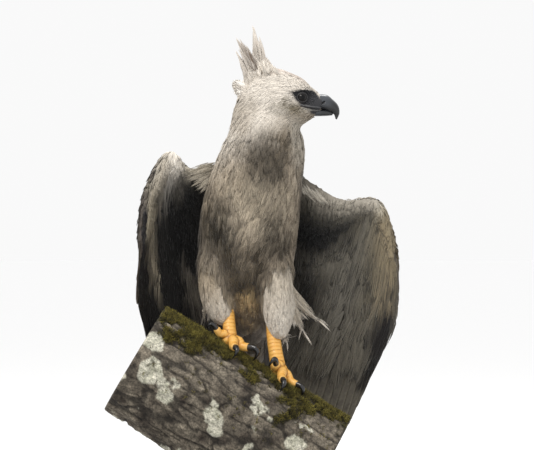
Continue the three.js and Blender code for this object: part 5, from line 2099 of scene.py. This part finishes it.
def foot(side, leg, material):
    """One foot with its bare shank, joined into one skin with scutes on top."""
    knuckle = on_limb(leg["along"], FOOT_TURN, 12)
    pad = [(*in_bird(knuckle + [0, 0, z * MM]), r, r, r) for z, r in PAD]
    parts = [scuted(leg["shank"], 130, 40, (1, 0, 0), 7.0, (0, -1, 0.1), 1.0),
             loft(pad, 20, 28)[:2]]
    for toe in TOES[side].values():
        path = in_bird(np.stack(toe_path(leg, toe)))
        rows = [(*place, *[share * toe["thick"]] * 3) for place, share in zip(path, TOE_RADII)]
        up = limb_normal(FOOT_TURN + 0.5 * toe["turn"])
        parts.append(scuted(rows, 110, 32, LIMB_ALONG + [0, 0.2, 0], 4.6, up, 0.85))
    mesh = fused("foot_union", *joined([tube(*part) for part in parts]), FOOT_VOXEL)
    edges = edges_of(mesh)
    calm = averaged(points_of(mesh), edges, 1)
    set_points(mesh, calm)
    mesh.update()
    wide = averaged(calm, edges, 14)
    hollow = ((wide - calm) * normals_of(mesh)).sum(1) / MM
    colour = blend(LEG_YELLOW, LEG_ORANGE, 0.5 + 0.5 * rough_noise(in_bird(calm), 9, 99))
    # Darker in the hollows and paler on the ridges: painted shade and painted highlight
    colour = blend(colour, LEG_CREASE_SHADE, 0.7 * smooth(-0.05, 0.22, hollow))
    colour = blend(colour, LEG_RIDGE_HIGHLIGHT, 0.35 * smooth(0.0, 0.25, -hollow))
    paint(mesh, colour)
    set_smooth(mesh)
    finish_piece(linked(f"leg_{side}", mesh), material, "leg_skin", f"foot_{side}",
                 f"shank_{side}")


def claws(side, leg, material):
    """Claws that curve from the last joint of each toe down round the limb."""
    for name, toe in TOES[side].items():
        path = toe_path(leg, toe)
        ahead = unit(path[3] - path[2])
        down = -limb_normal(FOOT_TURN + toe["turn"])
        size = toe["claw"]
        t = np.linspace(0, 1, 9)
        bend = (path[3] + np.outer((size * 0.72 * np.sin(1.9 * t) - 2) * MM, ahead)
                + np.outer((size * 0.62 * t * t - size * 0.1 * np.sin(np.pi * t)) * MM, down))
        radii = toe["thick"] * np.interp(t, [0, 0.3, 0.62, 0.85, 1], [0.64, 0.6, 0.42, 0.22, 0.06])
        rows = [(*place, r, r * 1.12, r * 1.12) for place, r in zip(in_bird(bend), radii)]
        points, ends, (centres, _) = loft(rows, 56, 24, dome=0.8)
        p = in_bird(points)
        share = np.linspace(0, 1, 56)[:, None]
        out = unit(points - centres[:, None])
        points = points + out * (0.1 * noise(p * 0.6, 1.4, 110) * (1 - share) * MM)[..., None]
        colour = blend(tone(58, 54, 52), tone(18, 18, 20),
                       smooth(0.0, 0.5, share + 0.1 * noise(p, 3, 111)))
        obj = tube_object(f"talon_{side}_{name}", points, ends, colour)
        finish_piece(obj, material, "horn", f"claw_{side}_{name}")


# The stand, with a turned collar at each rod's foot: (radius, height)
COLLAR = [(0.0092, 0.0), (0.020, 0.0), (0.021, 0.001), (0.021, 0.004), (0.020, 0.0052),
          (0.0115, 0.0062), (0.0105, 0.0072), (0.0105, 0.0115), (0.0098, 0.0125),
          (0.0092, 0.0125)]


def stand(board_material, steel_material):
    """Bevels the board, and sets a collar round the foot of each rod."""
    base = nodes["stand_base"]
    bevel = base.modifiers.new("bevel", "BEVEL")
    bevel.width = 0.0025
    bevel.segments = 3
    bevel.limit_method = "ANGLE"
    set_material(base, board_material)
    for k in (1, 2):
        set_material(nodes[f"stand_rod_{k}"], steel_material)
        low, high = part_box(f"stand_rod_{k}")
        x, y = (low.x + high.x) / 2, (low.y + high.y) / 2
        points = [(x + r * np.cos(a), y + r * np.sin(a), low.z + h) for r, h in COLLAR
                  for a in around(64)]
        collar = mesh_object(f"stand_collar_{k}", np.array(points), loop_quads(len(COLLAR), 64),
                             flat=True)
        finish_piece(collar, steel_material, "stand_steel")


# The stage, the light and the camera
SKY = 0.95
FLOOR_RADIUS = 60.0


def add_camera():
    data = bpy.data.cameras.new("camera")
    data.lens = 177.4
    data.sensor_width = 36
    data.clip_end = 50
    camera = linked("camera", data)
    camera.location = (0.013, -5.025, 0.6665)
    camera.rotation_euler = (np.pi / 2, 0, 0)
    bpy.context.scene.camera = camera


def add_light(name, place, aim, size, power, colour):
    data = bpy.data.lights.new(name, "AREA")
    data.energy = power
    data.shape = "DISK"
    data.size = size
    data.color = colour
    light = linked(name, data)
    light.location = place
    light.rotation_euler = (Vector(aim) - Vector(place)).to_track_quat("-Z", "Y").to_euler()


def add_stage():
    """A pale floor, softly greyer round the stand and far off as bright as the sky."""
    f = Finish("stage", Roughness=0.9, Specular_IOR_Level=0.05)
    away = f.add("VectorMath", {0: f.place()}, out=1, operation="LENGTH")
    away = f.math("MULTIPLY", away, 0.25)
    f.plug(f.shader, {"Emission Color": (1, 1, 1, 1),
                      "Emission Strength": f.ramp(away, (0.2, 0.0), (0.75, 0.22 * SKY))})
    turn = around(96)
    rim = FLOOR_RADIUS * np.stack([np.cos(turn), np.sin(turn), 0 * turn], 1)
    k = np.arange(len(turn))
    faces = np.stack([np.full(len(k), len(k)), k, (k + 1) % len(k)], 1)
    stage = mesh_object("stage", np.concatenate([rim, np.zeros((1, 3))]), faces)
    stage.data.materials.append(f.show(f.ramp(away, (0.2, 0.42), (0.75, 0.78))))
    world = bpy.data.worlds.new("world")
    bpy.context.scene.world = world
    world.use_nodes = True
    background = world.node_tree.nodes["Background"]
    background.inputs[0].default_value = (1, 1, 1, 1)
    background.inputs[1].default_value = SKY
    bpy.context.scene.view_settings.view_transform = "Standard"
    add_light("key", (-1.9, -2.8, 4.4), (0, 0, 0.75), 2.4, 135, (1.0, 0.97, 0.92))
    add_light("top", (0.6, 1.6, 3.8), (0, 0, 0.8), 1.6, 60, (1.0, 0.99, 0.97))


add_camera()
add_stage()

skin = Skin()
finder = WingFinder()
paint(skin.mesh, skin_colours(skin, finder))
plumage = plumage_material("plumage", 0.06)
vaned = plumage_material("vaned_plumage", 0.25)
finish_piece(skin.object, painted_material("skin_under_coat", 0.9), "body_plumage", *FLESH)

head_coat(skin, plumage)
body_coat(skin, plumage)
mantle_coat(skin, vaned)
thigh_coat(skin, plumage)
covert_coats(skin, {1: vaned, -1: plumage})
edge_coat(skin, finder, plumage)
flight = flight_material()
for wing in WINGS:
    wing_flight(wing, flight)
tail_flight(flight)
crests(skin, vaned)
plumes(skin, plumage)

horn = painted_material("horn", 0.28, 900.0, 0.05, 0.0002, Coat_Weight=0.25, Coat_Roughness=0.2)
talon = painted_material("talon", 0.22, 900.0, 0.04, 0.0002, Coat_Weight=0.4, Coat_Roughness=0.12)
wet = painted_material("wet_eye", 0.06, Specular_IOR_Level=0.22)
bare_skin = painted_material("bare_skin", 0.5, 700.0, 0.3, 0.0003)
leg_skin = painted_material("leg_skin", 0.45, 900.0, 0.25, 0.0003, Coat_Weight=0.1)
bark = bark_material()
gape(skin, bill(horn), bare_skin)
eyes(wet, bare_skin)
for side, leg in LEGS.items():
    foot(side, leg, leg_skin)
    claws(side, leg, talon)
limb(bark)
moss(painted_material("moss", 0.85))
stand(board_material(), steel_material())
